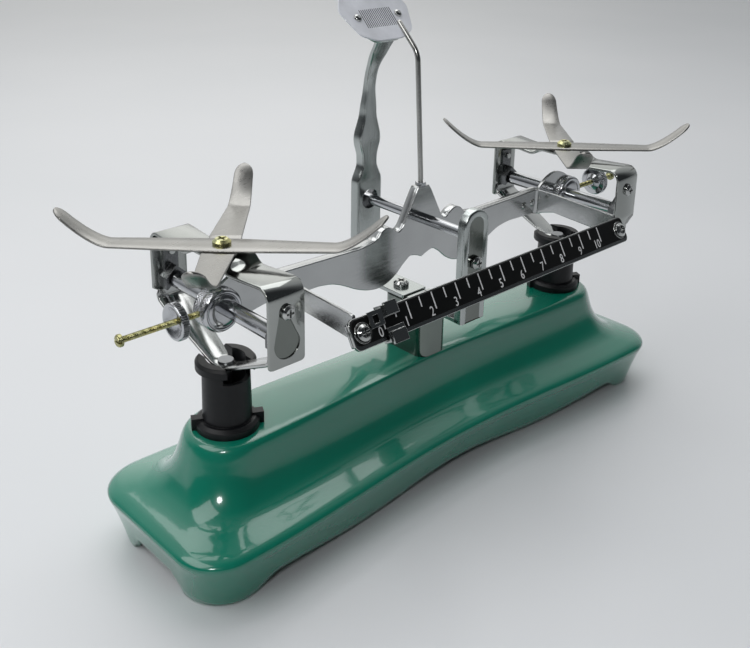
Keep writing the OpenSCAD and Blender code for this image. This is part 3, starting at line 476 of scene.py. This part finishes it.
def table_value(table, x, shape=lambda t: t):
    """Height at x on a line of (x, height) points in rising x; shape may ease it into each point."""
    if x <= table[0][0]:
        return table[0][1]
    for (x0, y0), (x1, y1) in zip(table, table[1:]):
        if x <= x1:
            return y0 + (y1 - y0) * shape((x - x0) / max(1e-9, x1 - x0))
    return table[-1][1]


def tube(name, body, look, path, r, replaces=(), around=20):
    """A round wire along 3-D points with rounded ends."""
    path = [Vector(p) for p in path]
    points, rings = [], 0
    up = Vector((1, 0, 0))
    for i, p in enumerate(path):
        ahead = (path[min(i + 1, len(path) - 1)] - path[max(i - 1, 0)]).normalized()
        u = up - ahead * up.dot(ahead)
        u.normalize()
        v = ahead.cross(u)
        at_end = i in (0, len(path) - 1)
        steps = (0.25, 0.6, 0.85, 1.0) if at_end else (1.0,)
        if i == len(path) - 1:
            steps = steps[::-1]
        for s in steps:
            back = math.sqrt(1 - s * s) * r * (-1 if i == 0 else 1) if at_end else 0
            base = p + ahead * (back + (r if i == 0 else -r if at_end else 0))
            for k in range(around):
                angle = 2 * math.pi * k / around
                points.append(base + (u * math.cos(angle) + v * math.sin(angle)) * r * s)
            rings += 1
    return piece(name, body, look, points, capped(rings, around), replaces)


# ---------------------------------------------------------------- base
BASE_L, BASE_W, WAIST = 300.0, 86.0, 7.0  # WAIST: how far each long side is drawn in at the middle
CREASE, RIM_R = 22.0, 19.5  # height of the widest line, and its corner radius
DRAFT, LIFT, WALL = 5.5, 8.0, 2.6  # skirt drawn in at the table, arch of the end walls, wall thickness
ARC, LONG, SHORT = 14, 60, 10  # points of a corner, a long and a short side
# Inset from the widest line and height over it, from the skirt's top over the rim
RIM_STEPS = [(0.15, -1.2), (0, -0.4), (0.05, 0.4), (0.5, 1.2), (1.5, 2.15), (2.8, 2.9), (4.4, 3.5), (6, 3.9),
             (7.6, 4.4)]
# Half length, half width, corner radius, waist and height of the rings from the lip over the cove to the deck
COVE_RINGS = [(141.0, 34.0, 16.8, 7.0, 26.8), (137.6, 29.8, 17.2, 6.3, 28.2), (134.4, 25.9, 17.6, 5.7, 31.0),
              (131.8, 22.9, 18.0, 5.1, 35.3), (129.9, 20.8, 18.2, 4.7, 40.4), (128.5, 19.6, 18.0, 4.5, 45.4),
              (127.2, 18.8, 17.5, 4.1, 49.4), (125.9, 18.0, 16.9, 3.7, 51.9), (124.3, 17.1, 16.3, 3.2, 53.15),
              (122.4, 16.2, 15.6, 2.7, DECK_Z)]


def ring_outline(half_l, half_w, r, waist):
    """The base's outline at one level, anticlockwise from +X."""
    points = []

    def corner(sx, sy, start):
        points.extend(arc((sx * (half_l - r), sy * (half_w - r)), r, start, start + 90, ARC))

    def long_side(sy):
        for i in range(1, LONG):
            x = sy * (half_l - r) * (1 - 2 * i / LONG)
            points.append((x, sy * (half_w - waist * math.cos(math.pi / 2 * x / (half_l - r)) ** 2)))

    def short_side(sx):
        for i in range(1, SHORT):
            points.append((sx * half_l, sx * (half_w - r) * (2 * i / SHORT - 1)))

    corner(1, 1, 0)
    long_side(1)
    corner(-1, 1, 90)
    short_side(-1)
    corner(-1, -1, 180)
    long_side(-1)
    corner(1, -1, 270)
    short_side(1)
    return points


def skirt_bottom(p):
    """Height of the skirt's lower edge: it stands on the corners and is arched and wavy between them."""
    foot_x, foot_y = BASE_L / 2 - RIM_R, BASE_W / 2 - RIM_R
    if abs(p[0]) >= foot_x - 0.01:
        return LIFT * ease((foot_y - abs(p[1])) / 9.6)
    return ease((foot_x - abs(p[0])) / 16) * (4.6 + 1.8 * math.cos(2 * math.pi * p[0] / 118))


def rim(inset):
    return (BASE_L / 2 - inset, BASE_W / 2 - inset, RIM_R - 0.3 * inset, WAIST)


def build_base():
    bottoms = [skirt_bottom(p) for p in ring_outline(*rim(0))]
    count = len(bottoms)
    points = []

    def flare(inset, share, lift=0.0):
        """One ring of the skirt, share 0 at its lower edge and 1 at the crease."""
        high, low = ring_outline(*rim(inset)), ring_outline(*rim(inset + DRAFT))
        for h, l, b in zip(high, low, bottoms):
            t = (1 - share) * (CREASE - b) / CREASE
            bow = 1 - (1 - t) ** 1.25
            z = b + (CREASE - b) * share + lift
            points.append((h[0] + (l[0] - h[0]) * bow, h[1] + (l[1] - h[1]) * bow, z))

    def flat(shape, z):
        points.extend((x, y, z) for x, y in ring_outline(*shape))

    cove = catmull(COVE_RINGS, 5)
    flare(0.6, 0.0)
    flare(0.1, 0.03, 0.15)
    for k in range(1, 7):
        flare(0, 0.05 + 0.9 * k / 7)
    for inset, z in RIM_STEPS:
        flat(rim(inset), CREASE + z)
    for half_l, half_w, r, waist, z in cove:
        flat((half_l, half_w, r, waist), z)
    top = len(points) // count - 1
    in_by = 2.1
    for half_l, half_w, r, waist, z in cove[::-5]:
        flat((half_l - in_by, half_w - in_by, r - in_by, waist), z - WALL)
    flat(rim(3.0), CREASE - 1.6)
    flare(2.2, 0.0)
    rings = len(points) // count
    around = grid_faces(rings, count, wrap_rows=True)
    faces = around[:top * count] + around[(top + 1) * count:]
    centre = len(points)
    points.extend([(0, 0, DECK_Z), (0, 0, DECK_Z - WALL)])
    for i in range(count):
        j = (i + 1) % count
        faces.append((centre, top * count + i, top * count + j))
        faces.append((centre + 1, (top + 1) * count + j, (top + 1) * count + i))
    piece("base_casting", "stand", "green", points, faces, ("base_shell",), smooth=60)


build_base()

# ---------------------------------------------------------------- pan crosses
CROSS_TURN, CROSS_Z, CROSS_T = 44.0, 133.0, 1.0
CROSS_HALF, NEAR_HALF = 63.75, 57.75  # long arms, and the lower strip's short arm
CROSS_CURL, CROSS_RISE, TIP_HALF = 20.0, 13.5, 4.2  # length, height and half width of the curled tips
WIDE_HALF, NARROW_FROM = 6.5, 10  # half width near the middle, and where it starts to narrow


def cross_strip(name, body, look, cx, turn, far, near, under):
    """One strip of a cross; the under one is joggled down by its thickness at the crossing."""
    steps = 150
    line = []
    for i in range(steps + 1):
        x = -near + 0.05 + (near + far - 0.1) * 0.5 * (1 - math.cos(math.pi * i / steps))
        a = abs(x)
        z = CROSS_Z - CROSS_T + CROSS_T * ease((a - 7.6) / 1.6) if under else CROSS_Z
        bend = max(0.0, (a - ((far if x > 0 else near) - CROSS_CURL)) / CROSS_CURL)
        line.append((x, z + CROSS_RISE * bend ** 1.5))
    c, s = math.cos(math.radians(turn)), math.sin(math.radians(turn))

    def half_width(p):
        a = abs(p.x)
        end = (far if p.x > 0 else near) - TIP_HALF
        if a > end:
            return math.sqrt(max(0.06, TIP_HALF ** 2 - (a - end) ** 2))
        if a < NARROW_FROM:
            return WIDE_HALF + 0.03 * (NARROW_FROM - a)
        return WIDE_HALF - (WIDE_HALF - TIP_HALF) * (a - NARROW_FROM) / (end - NARROW_FROM)

    strip(name, body, look, line, half_width, CROSS_T,
          lambda x, w, z: (cx + x * c - w * s, x * s + w * c, z), (name,))


for side_name, side in SIDES.items():
    support = "pan_support_" + side_name
    cross_strip("cross_upper_" + side_name, support, "satin_a", side * END_X, -CROSS_TURN,
                CROSS_HALF, CROSS_HALF, False)
    cross_strip("cross_lower_" + side_name, support, "satin_b", side * END_X, 90 - CROSS_TURN,
                CROSS_HALF, NEAR_HALF, True)

# ---------------------------------------------------------------- stirrups and V straps
SHEET = 1.5  # sheet of stirrups, straps and beam
STIRRUP_W, STIRRUP_HALF, STIRRUP_TOP, STIRRUP_LOW, BEND_R = 17.0, 40.5, 131.0, 97.0, 5.5
TONGUE_TOP, TONGUE_TAPER, TONGUE_IN = 103.4, 3.8, 5.8  # one leg of each stirrup narrows to a tongue
RECESS_DEPTH = 0.5


def stirrup_line():
    half = [(0, STIRRUP_TOP), (10, STIRRUP_TOP), (14.5, STIRRUP_TOP - 3.4), (35, STIRRUP_TOP - 1.6)]
    half = filleted(half, 2.2, 6)
    half += [Vector(p) for p in arc((STIRRUP_HALF - BEND_R, 123.9), BEND_R, 78, 0, 13)]
    for z in (121, 117, 113, 109, 106, 104.5, TONGUE_TOP, 102.6, 101.8, 101, 100.2, 99.6, 99.2, 98.6, 98,
              97.5, 97.2, STIRRUP_LOW):
        half.append(Vector((STIRRUP_HALF, z)))
    return mirrored(half)


def build_stirrup(side_name, side):
    corner = 1.4

    def half_width(p):
        w = STIRRUP_W / 2
        if p.x * -side > 30 and p.y < TONGUE_TOP:
            return w - TONGUE_IN * min(1.0, (TONGUE_TOP - p.y) / TONGUE_TAPER) - (0.7 if p.y < 97.3 else 0)
        low = p.y - STIRRUP_LOW
        if low < corner:
            w -= corner - math.sqrt(max(0, corner ** 2 - (corner - low) ** 2))
        return w

    name = "stirrup_" + side_name
    obj = strip(name, "pan_support_" + side_name, "stirrup", stirrup_line(), half_width, SHEET,
                lambda y, w, z: (side * END_X + w, y, z), (name,))
    if side > 0:
        return
    # The teardrop pressed into the near face of the left stirrup; its floor gets the darker plate as painted
    # shade
    drop = arc((0, 106), 6, 170, 370, 24) + arc((-1.6, 118), 2, 10, 170, 12)
    floor_y = RECESS_DEPTH - STIRRUP_HALF
    obj.data.materials.append(LOOKS["painted_shade"][0])
    carve(obj, *prism(drop, lambda a, b, d: (side * END_X + a, d, b), -STIRRUP_HALF - 1, floor_y))
    at = row((0, floor_y, 0)).y
    for face in obj.data.polygons:
        if face.normal.y < -0.9 and abs(face.center.y - at) < 0.0001 and face.center.z < 0.121:
            face.material_index = 1


def build_v_strap(side_name, side):
    half = filleted([(0, 82.2), (3.5, 82.2), (37.5, 99.25), (37.5, 102.8)], 2.4, 6)

    def half_width(p):
        y = abs(p.x)
        return 4.5 + 3.0 * min(1.0, y / 33) - (0.8 if y > 37.4 and p.y > 102.4 else 0)

    name = "v_strap_" + side_name
    strip(name, "pan_support_" + side_name, "strap", dense_line(mirrored(half), 1.5), half_width, SHEET,
          lambda y, w, z: (side * END_X + w, y, z), (name,))


for side_name, side in SIDES.items():
    build_stirrup(side_name, side)
    build_v_strap(side_name, side)

# ---------------------------------------------------------------- hubs, nuts and balance rods
HUB_X, HUB_R, HUB_DEPTH = 111.5, 9.0, 9.0
NUT_R, NUT_T, NUT_PLACES = 7.6, 3.6, {"left": 130.2, "right": 139.5}
ROD_R, ROD_START, ROD_END, PITCH = 1.3, 116.5, 153.6, 0.5


def knurl(low, high, count, depth, slant):
    """Crossed or straight grooves round a rim between two places along the axis."""

    def radius(along, r, angle):
        if not low <= along <= high:
            return r
        a = math.cos(count * angle + slant * along)
        b = math.cos(count * angle - slant * along)
        return r - depth * (0.5 - 0.25 * (a + b))

    return radius


def build_hub(side_name, side):
    """A diamond-knurled drum with a turned groove in each face and at each end of the knurl."""
    h = HUB_DEPTH / 2
    end = [(-h, 4.2), (-h, 6.6), (-h + 0.25, 6.75), (-h + 0.25, 7.0), (-h, 7.15), (-h, 8.0), (-h + 0.25, 8.5),
           (-h + 0.8, 8.95), (-h + 1.1, HUB_R), (-h + 1.15, 8.8), (-h + 1.4, 8.8), (-h + 1.45, HUB_R)]
    inner = h - 1.5
    middle = [(-inner + 2 * inner * k / 26, HUB_R) for k in range(27)]
    lathe("hub_" + side_name, "beam", "steel", (side * HUB_X, 0, END_Z), (0, 1, 0),
          end + middle + [(-a, r) for a, r in end[::-1]], ("hub_" + side_name,),
          around=320, radius=knurl(-inner, inner, 40, 0.55, 2 * math.pi / 1.4), smooth=60)


def build_nut(side_name, side):
    """A straight-knurled disc with a coned boss on its inner side and a dished outer face."""
    hole = ROD_R + 0.05
    profile = [(-2.2, hole), (-2.2, 2.5), (-1.9, 2.9), (-0.3, 4.3), (0, 4.7), (0, 6.7), (0.35, 7.45)]
    profile += [(0.5 + (NUT_T - 1.0) * k / 8, NUT_R) for k in range(9)]
    profile += [(NUT_T - 0.35, 7.45), (NUT_T, 7.1), (NUT_T, 6.4), (NUT_T - 0.3, 6.1)]
    profile += [(2.4, 3.6), (2.2, 2.6), (2.2, hole)]
    start = side * (NUT_PLACES[side_name] - NUT_T / 2)
    name = "balance_nut_" + side_name
    lathe(name, name, "steel", (start, 0, END_Z), (side, 0, 0), profile, (name,), around=288,
          radius=knurl(0.45, NUT_T - 0.45, 48, 0.5, 0.0), closed=True, smooth=40)


def build_rod(side_name, side):
    """A threaded rod with a slotted head."""
    length = ROD_END - ROD_START
    shank = [(length * k / 470, ROD_R) for k in range(471)]
    head = [(length + a, r) for a, r in ((0, 2.3), (0.2, 2.5), (1.2, 2.5), (1.6, 2.3), (2.0, 1.75))]

    def radius(along, r, angle):
        if along >= length or along < 0.8:
            return r
        phase = (along / PITCH + angle / (2 * math.pi)) % 1.0
        return r - 0.26 * abs(2 * phase - 1)

    name = "balance_rod_" + side_name
    obj = lathe(name, "beam", "rod", (side * ROD_START, 0, END_Z), (side, 0, 0), shank + head, (name,),
                around=28, radius=radius, smooth=40)
    slot = [(-0.4, -4), (0.4, -4), (0.4, 4), (-0.4, 4)]
    carve(obj, *prism(slot, lambda a, b, d: (side * d, b, END_Z + a), ROD_END + 1.0, ROD_END + 4))


for side_name, side in SIDES.items():
    build_hub(side_name, side)
    build_nut(side_name, side)
    build_rod(side_name, side)

# ---------------------------------------------------------------- beam: one bent pressing with a rim
SHEET_Y, ARM_X, RIM_T, RIM_DEPTH = -3.0, 84.4, 1.3, 5.0
ARM_END_Y, ARM_LOW, ARM_TOP = -49.5, 101.8, 114.8
# Lower and upper edge of the right half of the back plate
BEAM_LOW = [(0, 99.8), (4, 101.5), (7.5, 102.2), (11.5, 99.6), (17, 94.7), (22, 92.2), (27.5, 91.3),
            (34, 92.3), (41, 94.9), (47.5, 98.5), (54, 101.3), (62, 102.6), (ARM_X, ARM_LOW)]
BEAM_TOP = [(3.4, 134.3), (4.6, 132.6), (12.5, 117.5), (15.5, 115.4), (18.5, 118.2), (22, 119.8), (26, 118.4),
            (28.5, 115.2), (38, 113.6), (ARM_X, ARM_TOP)]


def build_beam():
    low = filleted(BEAM_LOW, 3.5, 6)
    top = filleted(BEAM_TOP, 2.2, 6)
    low_table = [(p.x, p.y) for p in low]
    top_table = [(0.0, BEAM_TOP[0][1])] + [(p.x, p.y) for p in top]
    bend = 2.6
    corners = {round(p.x, 3) for p in low + top if p.x < ARM_X - bend - 0.2}
    xs = sorted(corners | {k * 1.5 for k in range(54)} | {ARM_X - bend})
    centre = SHEET_Y + SHEET / 2
    # Stations along the pressing: x, y, the sheet's normal, its lower and upper edge, and its end's slant
    right = [(x, centre, 0.0, 1.0, table_value(low_table, x), table_value(top_table, x), 0.0) for x in xs]
    for k in range(1, 9):
        a = math.radians(90 * k / 8)
        px, py = ARM_X - bend + bend * math.sin(a), centre - bend + bend * math.cos(a)
        right.append((px, py, math.sin(a), math.cos(a), ARM_LOW, ARM_TOP, 0.0))
    for k in range(1, 25):
        y = centre - bend + (ARM_END_Y - centre + bend) * k / 24
        z_top = ARM_TOP if y > -14 else ARM_TOP - 1.4 * (-14 - y) / 36.6
        z_low = ARM_LOW + 3.2 * min(1.0, max(0.0, (-3 - y) / 11)) if y > -14 else 105 - 2.0 * (-14 - y) / 36
        right.append((ARM_X, y, 1.0, 0.0, z_low, z_top, 0.0))
    right.append((ARM_X, ARM_END_Y - 0.1, 1.0, 0.0, 103.0, 113.4, -3.4))
    stations = [(-x, y, -nx, ny, a, b, d) for x, y, nx, ny, a, b, d in right[:0:-1]] + right
    points = []
    t = SHEET / 2
    e = 0.35  # chamfer of the sheet's edges
    for x, y, nx, ny, a, b, lean in stations:
        front = [(t - e, a), (t, a + e), (t, (a + b) / 2), (t, b - e), (t - e, b)]
        for depth, z in front + [(-depth, z) for depth, z in front[::-1]]:
            share = (b - z) / (b - a)
            points.append((x + nx * depth, y + ny * depth + lean * share, z))
    piece("beam_pressing", "beam", "beam", points, capped(len(stations), 10), ("beam_frame",), smooth=40)

    rim_right = [Vector((0, BEAM_TOP[0][1]))] + [p.copy() for p in top]
    rim_right[-1].x = ARM_X + SHEET / 2
    strip("beam_rim", "beam", "beam", dense_line(mirrored(rim_right), 3), lambda p: RIM_DEPTH / 2, RIM_T,
          lambda x, w, z: (x, SHEET_Y + RIM_DEPTH / 2 + w, z), ("beam_frame",))


build_beam()

# ---------------------------------------------------------------- knife arms
KNIFE_ARM = [(69, 105), (80, 103.6), (90, 102.4), (100, 100.5), (108, 99.4), (113, 101), (115.5, 107),
             (113, 114.5), (107, 119), (100, 120.4), (93, 118.2), (86, 113.4), (78, 112), (69, 111.5)]


def build_knife_arm(side_name, side):
    outline = catmull([(x * side, z) for x, z in KNIFE_ARM], 5, closed=True)
    hole = circle(HUB_R, side * HUB_X, END_Z, 48)
    plate("knife_arm_" + side_name, "beam", "beam", outline, lambda a, b, d: (a, SHEET_Y + SHEET + d, b), 1.6,
          ("knife_arm_" + side_name,), edge=0.35, holes=(hole,))


for side_name, side in SIDES.items():
    build_knife_arm(side_name, side)

# ---------------------------------------------------------------- rear post, front bracket and dial
PED_TOP, STAND_HALF, POST_Y, FRONT_Y, ARCH_Z = 79.0, 7.8, 33.0, -36.0, 124.0
FOOT_T = 2.0
# Half width of the post at each height
POST_WIDTHS = [(PED_TOP, STAND_HALF), (127.5, STAND_HALF), (136.8, 4.6), (139.6, 4.7), (148.5, 6.7),
               (162, 3.9), (174, 3.0), (182, 3.2), (192, 5.0), (200, 6.4)]


def build_post():
    """A channel with its flanges to the back, which bends forward under the dial."""
    dense = dense_line(filleted([(POST_Y, PED_TOP), (POST_Y, 181), (22.4, 198.7)], 9, 10), 1.2)
    points = []
    for i, p in enumerate(dense):
        ahead = (dense[min(i + 1, len(dense) - 1)] - dense[max(i - 1, 0)]).normalized()
        back = Vector((ahead.y, -ahead.x))
        w = table_value(POST_WIDTHS, p.y, ease)
        deep = 5.0 - 2.6 * ease((p.y - 150) / 32) - 0.5 * ease((p.y - 181) / 12)
        r, t = 1.3, 1.3
        ring = [(-w, deep)] + arc((-w + r, r), r, 180, 270, 4) + arc((w - r, r), r, 270, 360, 4)
        ring += [(w, deep), (w - t, deep), (w - t, 1.5), (-w + t, 1.5), (-w + t, deep)]
        for across, d in ring:
            q = p + back * d
            points.append((across, q.x, q.y))
    obj = piece("rear_post_web", "stand", "post", points, capped(len(dense), 16), ("rear_post",), smooth=40)
    carve(obj, *prism(circle(5), lambda a, b, d: (a, d, PIVOT_Z + b), POST_Y - 2, POST_Y + 2.6))
    plate("rear_post_foot", "stand", "post", rounded(2 * STAND_HALF, 33.6, 1.2, 0, 17.4),
          lambda a, b, d: (a, b, PED_TOP + d), FOOT_T, ("rear_post",), edge=0.35)


def on_dial(s, t, out):
    """Across the dial, up its face and out from it; the face leans back 45 degrees."""
    c = math.sqrt(0.5)
    return (s, 29.7 + c * t - c * out, 207.5 + c * t + c * out)


def build_dial():
    low, thick, back = -13.2, 0.8, 1.2
    half = [(8, low), (16, -9.4), (21, 4.5), (17, 11.5), (9, 15)]
    outline = filleted([(0, low)] + half + [(0, 15)] + [(-x, y) for x, y in half[::-1]] + [(0, low)], 2.6, 6)
    plate("dial_plate", "stand", "dial", outline[:-1], lambda a, b, d: on_dial(a, b, d - thick), thick,
          ("dial_plate",), edge=0.2)
    outline = [(0, 4), (-15.8, 4), (-15.8, -5), (-9, low), (6, low), (15.8, -5), (15.8, 4), (0, 4)]
    plate("dial_backing", "stand", "post", filleted(outline, 3, 5)[:-1],
          lambda a, b, d: on_dial(a, b, d - thick - back), back, ("rear_post",), edge=0.2)
    points, faces = [], []
    for k in range(17):
        x = -9.4 + 1.14 * k
        mark = [(x - 0.2, -6.0), (x + 0.2, -6.0), (x + 0.2, 4.0), (x - 0.2, 4.0)]
        more, sides = prism(mark, on_dial, -0.02, 0.04)
        faces += [tuple(i + len(points) for i in f) for f in sides]
        points += more
    piece("dial_marks", "stand", "ink", points, faces)


def build_bracket():
    """A channel with an arched top, open to the back, its front face sunk a little inside a raised border and
    given a darker plate as painted shade.
    """
    depth, count = 4.6, 40

    def ring(inset):
        half = STAND_HALF - inset
        arch = arc((0, ARCH_Z), half, 0, 180, count)
        return [(half, PED_TOP), (half, 100)] + arch + [(-half, 100), (-half, PED_TOP)]

    # Inset and depth from the middle of the front face, round the edge to the inside of the channel
    rings = [(3.2, 0.35), (2.9, 0.3), (2.6, 0.05), (2.4, 0), (1.1, 0), (0.7, 0.07), (0.3, 0.25),
             (0.07, 0.6), (0, 1.0), (0, depth - 0.3), (0.3, depth), (1.0, depth), (1.3, depth - 0.3),
             (1.3, 2.0), (1.8, 1.5)]
    points = []
    for inset, d in rings:
        points += [(x, FRONT_Y + d, z) for x, z in ring(inset)]
    faces = capped(len(rings), count + 5)
    obj = piece("front_bracket_arch", "stand", "post", points, faces, ("front_bracket",), smooth=40)
    # painted shade: the sunk front face takes the darker plate
    obj.data.materials.append(LOOKS["painted_shade"][0])
    for face in obj.data.polygons:
        if len(face.vertices) > 10 and face.normal.y < -0.9:
            face.material_index = 1
    plate("front_bracket_foot", "stand", "post", rounded(2 * STAND_HALF, 34.2, 1.2, 0, -18.2),
          lambda a, b, d: (a, b, PED_TOP + d), FOOT_T, ("front_bracket",), edge=0.35)


build_post()
build_dial()
build_bracket()

# ---------------------------------------------------------------- pointer
def build_pointer():
    line = filleted([(-0.6, 131.3), (-0.6, 137.3), (3.7, 194.3), (16.5, 207.1)], 4.0, 8)
    tube("pointer", "beam", "wire", [(0, p.x, p.y) for p in line], 1.2, ("pointer",))


build_pointer()

# ---------------------------------------------------------------- rider scale
SCALE_Y, SCALE_Z, SCALE_LEAN, SCALE_L, SCALE_W = -54.0, 107.2, math.radians(30), 176.6, 12.4
TICK_ZERO, TICK_STEP, SCREW_X = -72.5, 14.0, 83.3


def on_scale(x, t, n):
    """Along the scale, up its face and behind it."""
    return (x, SCALE_Y + n * math.cos(SCALE_LEAN) + t * math.sin(SCALE_LEAN),
            SCALE_Z - n * math.sin(SCALE_LEAN) + t * math.cos(SCALE_LEAN))


def build_scale():
    face_t, bar_t = 0.4, 1.6
    bar = rounded(SCALE_L, SCALE_W, 2.6)
    plate("scale_bar", "beam", "bright", bar, lambda a, b, d: on_scale(a, b, face_t + d), bar_t,
          ("scale_bar",), edge=0.3)
    face = rounded(SCALE_L - 1.6, 10.2, 2.2, 0, 0.5)
    plate("scale_face", "beam", "scale", face, on_scale, face_t, ("scale_face",), edge=0.12)
    for side_name, side in SIDES.items():
        tab = rounded(10, 9.5, 1.0, side * SCREW_X, 0.25)
        plate("scale_tab_" + side_name, "beam", "beam", tab,
              lambda a, b, d: on_scale(a, b, face_t + bar_t + d), SHEET, ("beam_frame",), edge=0.3)
        ring = [(-0.02, 3.4), (-0.22, 3.5), (-0.32, 3.8), (-0.28, 4.1), (0.0, 4.2), (0.05, 3.4)]
        lathe("scale_washer_" + side_name, "beam", "bright", on_scale(side * SCREW_X, 0, 0),
              (0, math.cos(SCALE_LEAN), -math.sin(SCALE_LEAN)), ring, around=48, closed=True)
    points, faces = [], []
    for number in range(11):
        text = bpy.data.curves.new("number", "FONT")
        text.body = str(number)
        text.size = 5.6
        text.extrude = 0.04
        text.align_x = "CENTER"
        text.resolution_u = 3
        holder = add_object("number", text)
        graph = bpy.context.evaluated_depsgraph_get()
        mesh = bpy.data.meshes.new_from_object(holder.evaluated_get(graph))
        left = TICK_ZERO + number * TICK_STEP - (2.5 if number < 10 else 3.3)
        faces += [tuple(i + len(points) for i in f.vertices) for f in mesh.polygons]
        points += [on_scale(left + 0.82 * v.co.x, v.co.y - 4.0, -0.05 - v.co.z) for v in mesh.vertices]
        bpy.data.objects.remove(holder)
        bpy.data.curves.remove(text)
        bpy.data.meshes.remove(mesh)
    piece("scale_numbers", "beam", "marks", points, faces)


build_scale()

# ---------------------------------------------------------------- looks of the CAD nodes that stay
NODE_LOOKS = {
    "black": ["sleeve_left", "sleeve_right"],
    # the pedestal's nickel colour holds a painted reflection of the green deck
    "nickel": ["pedestal"],
    "post": ["rear_post", "front_bracket"],
    "bright": ["stand_screws", "pedestal_screws", "bearing_screws", "stirrup_screws_left",
               "stirrup_screws_right", "scale_screws", "dial_rivets", "knife_arm_rivets", "rider",
               "stirrup_left", "stirrup_right", "scale_bar"],
    "beam": ["beam_frame", "knife_arm_left", "knife_arm_right", "v_strap_left", "v_strap_right"],
    "steel": ["centre_knife", "pointer_nut", "hub_left", "hub_right", "end_knife_left", "end_knife_right",
              "balance_nut_left", "balance_nut_right"],
    "satin_a": ["cross_upper_left", "cross_upper_right"],
    "satin_b": ["cross_lower_left", "cross_lower_right"],
    "wire": ["pointer"],
    "dark": ["rear_bearing", "front_bearing", "knife_seats_left", "knife_seats_right"],
    "zinc": ["stem_left", "stem_right", "stay_lever", "stay_bracket", "stay_pivot_pin", "stay_end_pins"],
    "bronze": ["stay_bush"],
    "rod": ["balance_rod_left", "balance_rod_right"],
    "yellow": ["cross_screw_left", "cross_screw_right"],
    "dial": ["dial_plate"],
    "scale": ["scale_face"],
    "marks": ["scale_ticks"],
    "green": ["base_shell"],
}
for look_name, members in NODE_LOOKS.items():
    for member in members:
        slots = nodes[member].data.materials
        for i in range(len(slots)):
            slots[i] = LOOKS[look_name][0]
        if not slots:
            slots.append(LOOKS[look_name][0])

# ---------------------------------------------------------------- stage, light and camera
def build_floor():
    mesh = bpy.data.meshes.new("floor")
    half = 4.0
    corners = [(-half, -half, 0), (half, -half, 0), (half, half, 0), (-half, half, 0)]
    mesh.from_pydata(corners, [], [(0, 1, 2, 3)])
    m = Nodes("floor")
    m.set(Roughness=0.32, IOR=1.45)
    cloud = m.noise(m.place(), 3, 2)
    tint = m.mix(m.spread(cloud, 0, 1), (0.74, 0.75, 0.77), (0.70, 0.715, 0.735))
    m.link(tint, m.shader.inputs["Base Color"])
    mesh.materials.append(m.mat)
    add_object("floor", mesh)


build_floor()

# A studio that is dark in front and brightest at the back right: each stop is the cosine of the angle off
# the bright side, and its colour
BRIGHT_SIDE = (0.52, 0.77, 0.37)
STUDIO = [(0.0, (0.03, 0.033, 0.036)), (0.22, (0.10, 0.105, 0.11)), (0.48, (0.34, 0.35, 0.36)),
          (0.90, (0.50, 0.51, 0.51)), (0.99, (0.98, 0.98, 0.96))]
world = bpy.data.worlds.new("studio")
bpy.context.scene.world = world
world.use_nodes = True
tree = world.node_tree
sky = tree.nodes["Background"]
coord = tree.nodes.new("ShaderNodeTexCoord")
dot = tree.nodes.new("ShaderNodeVectorMath")
dot.operation = "DOT_PRODUCT"
dot.inputs[1].default_value = BRIGHT_SIDE
ramp = tree.nodes.new("ShaderNodeValToRGB")
stops = ramp.color_ramp.elements
for number, (place, colour) in enumerate(STUDIO):
    stop = stops[0] if number == 0 else stops.new(place)
    stop.position = place
    stop.color = (*colour, 1)
stops.remove(stops[-1])
tree.links.new(coord.outputs["Generated"], dot.inputs[0])
tree.links.new(dot.outputs["Value"], ramp.inputs["Fac"])
tree.links.new(ramp.outputs["Color"], sky.inputs["Color"])
sky.inputs["Strength"].default_value = 1.35


def lamp(name, place, size, energy):
    """A soft lamp aimed at the middle of the balance, round where its two sizes are the same."""
    aim = (0, 0, 0.08)
    data = bpy.data.lights.new(name, "AREA")
    data.shape = "DISK" if size[0] == size[1] else "RECTANGLE"
    data.size, data.size_y = size
    data.energy = energy
    obj = add_object(name, data)
    obj.location = place
    obj.rotation_mode = "QUATERNION"
    obj.rotation_quaternion = (Vector(aim) - Vector(place)).to_track_quat("-Z", "Y")


lamp("key", (-0.75, 0.15, 0.95), (0.9, 0.7), 4.6)
lamp("top", (0.25, 0.45, 1.15), (1.2, 0.9), 6.0)
lamp("front", (-0.84, -0.60, 0.78), (0.24, 0.24), 2.6)

# The camera was solved from the photograph, 750 by 648 pixels
cam_data = bpy.data.cameras.new("camera")
camera = add_object("camera", cam_data)
bpy.context.scene.camera = camera
CAM_AZ, CAM_EL, CAM_ROLL, FOCAL_PX = math.radians(43.22), math.radians(18.55), math.radians(1.07), 1000.5
cam_data.sensor_width = 36.0
cam_data.lens = FOCAL_PX * 36.0 / 750.0
cam_data.shift_y = -0.18
camera.location = row((-311.8, -302.2, 277.3))
look = Vector((math.sin(CAM_AZ) * math.cos(CAM_EL), math.cos(CAM_AZ) * math.cos(CAM_EL), -math.sin(CAM_EL)))
camera.rotation_mode = "QUATERNION"
camera.rotation_quaternion = look.to_track_quat("-Z", "Y") @ Euler((0, 0, CAM_ROLL)).to_quaternion()
cam_data.clip_start, cam_data.clip_end = 0.01, 20.0

bpy.context.scene.view_settings.view_transform = "Standard"
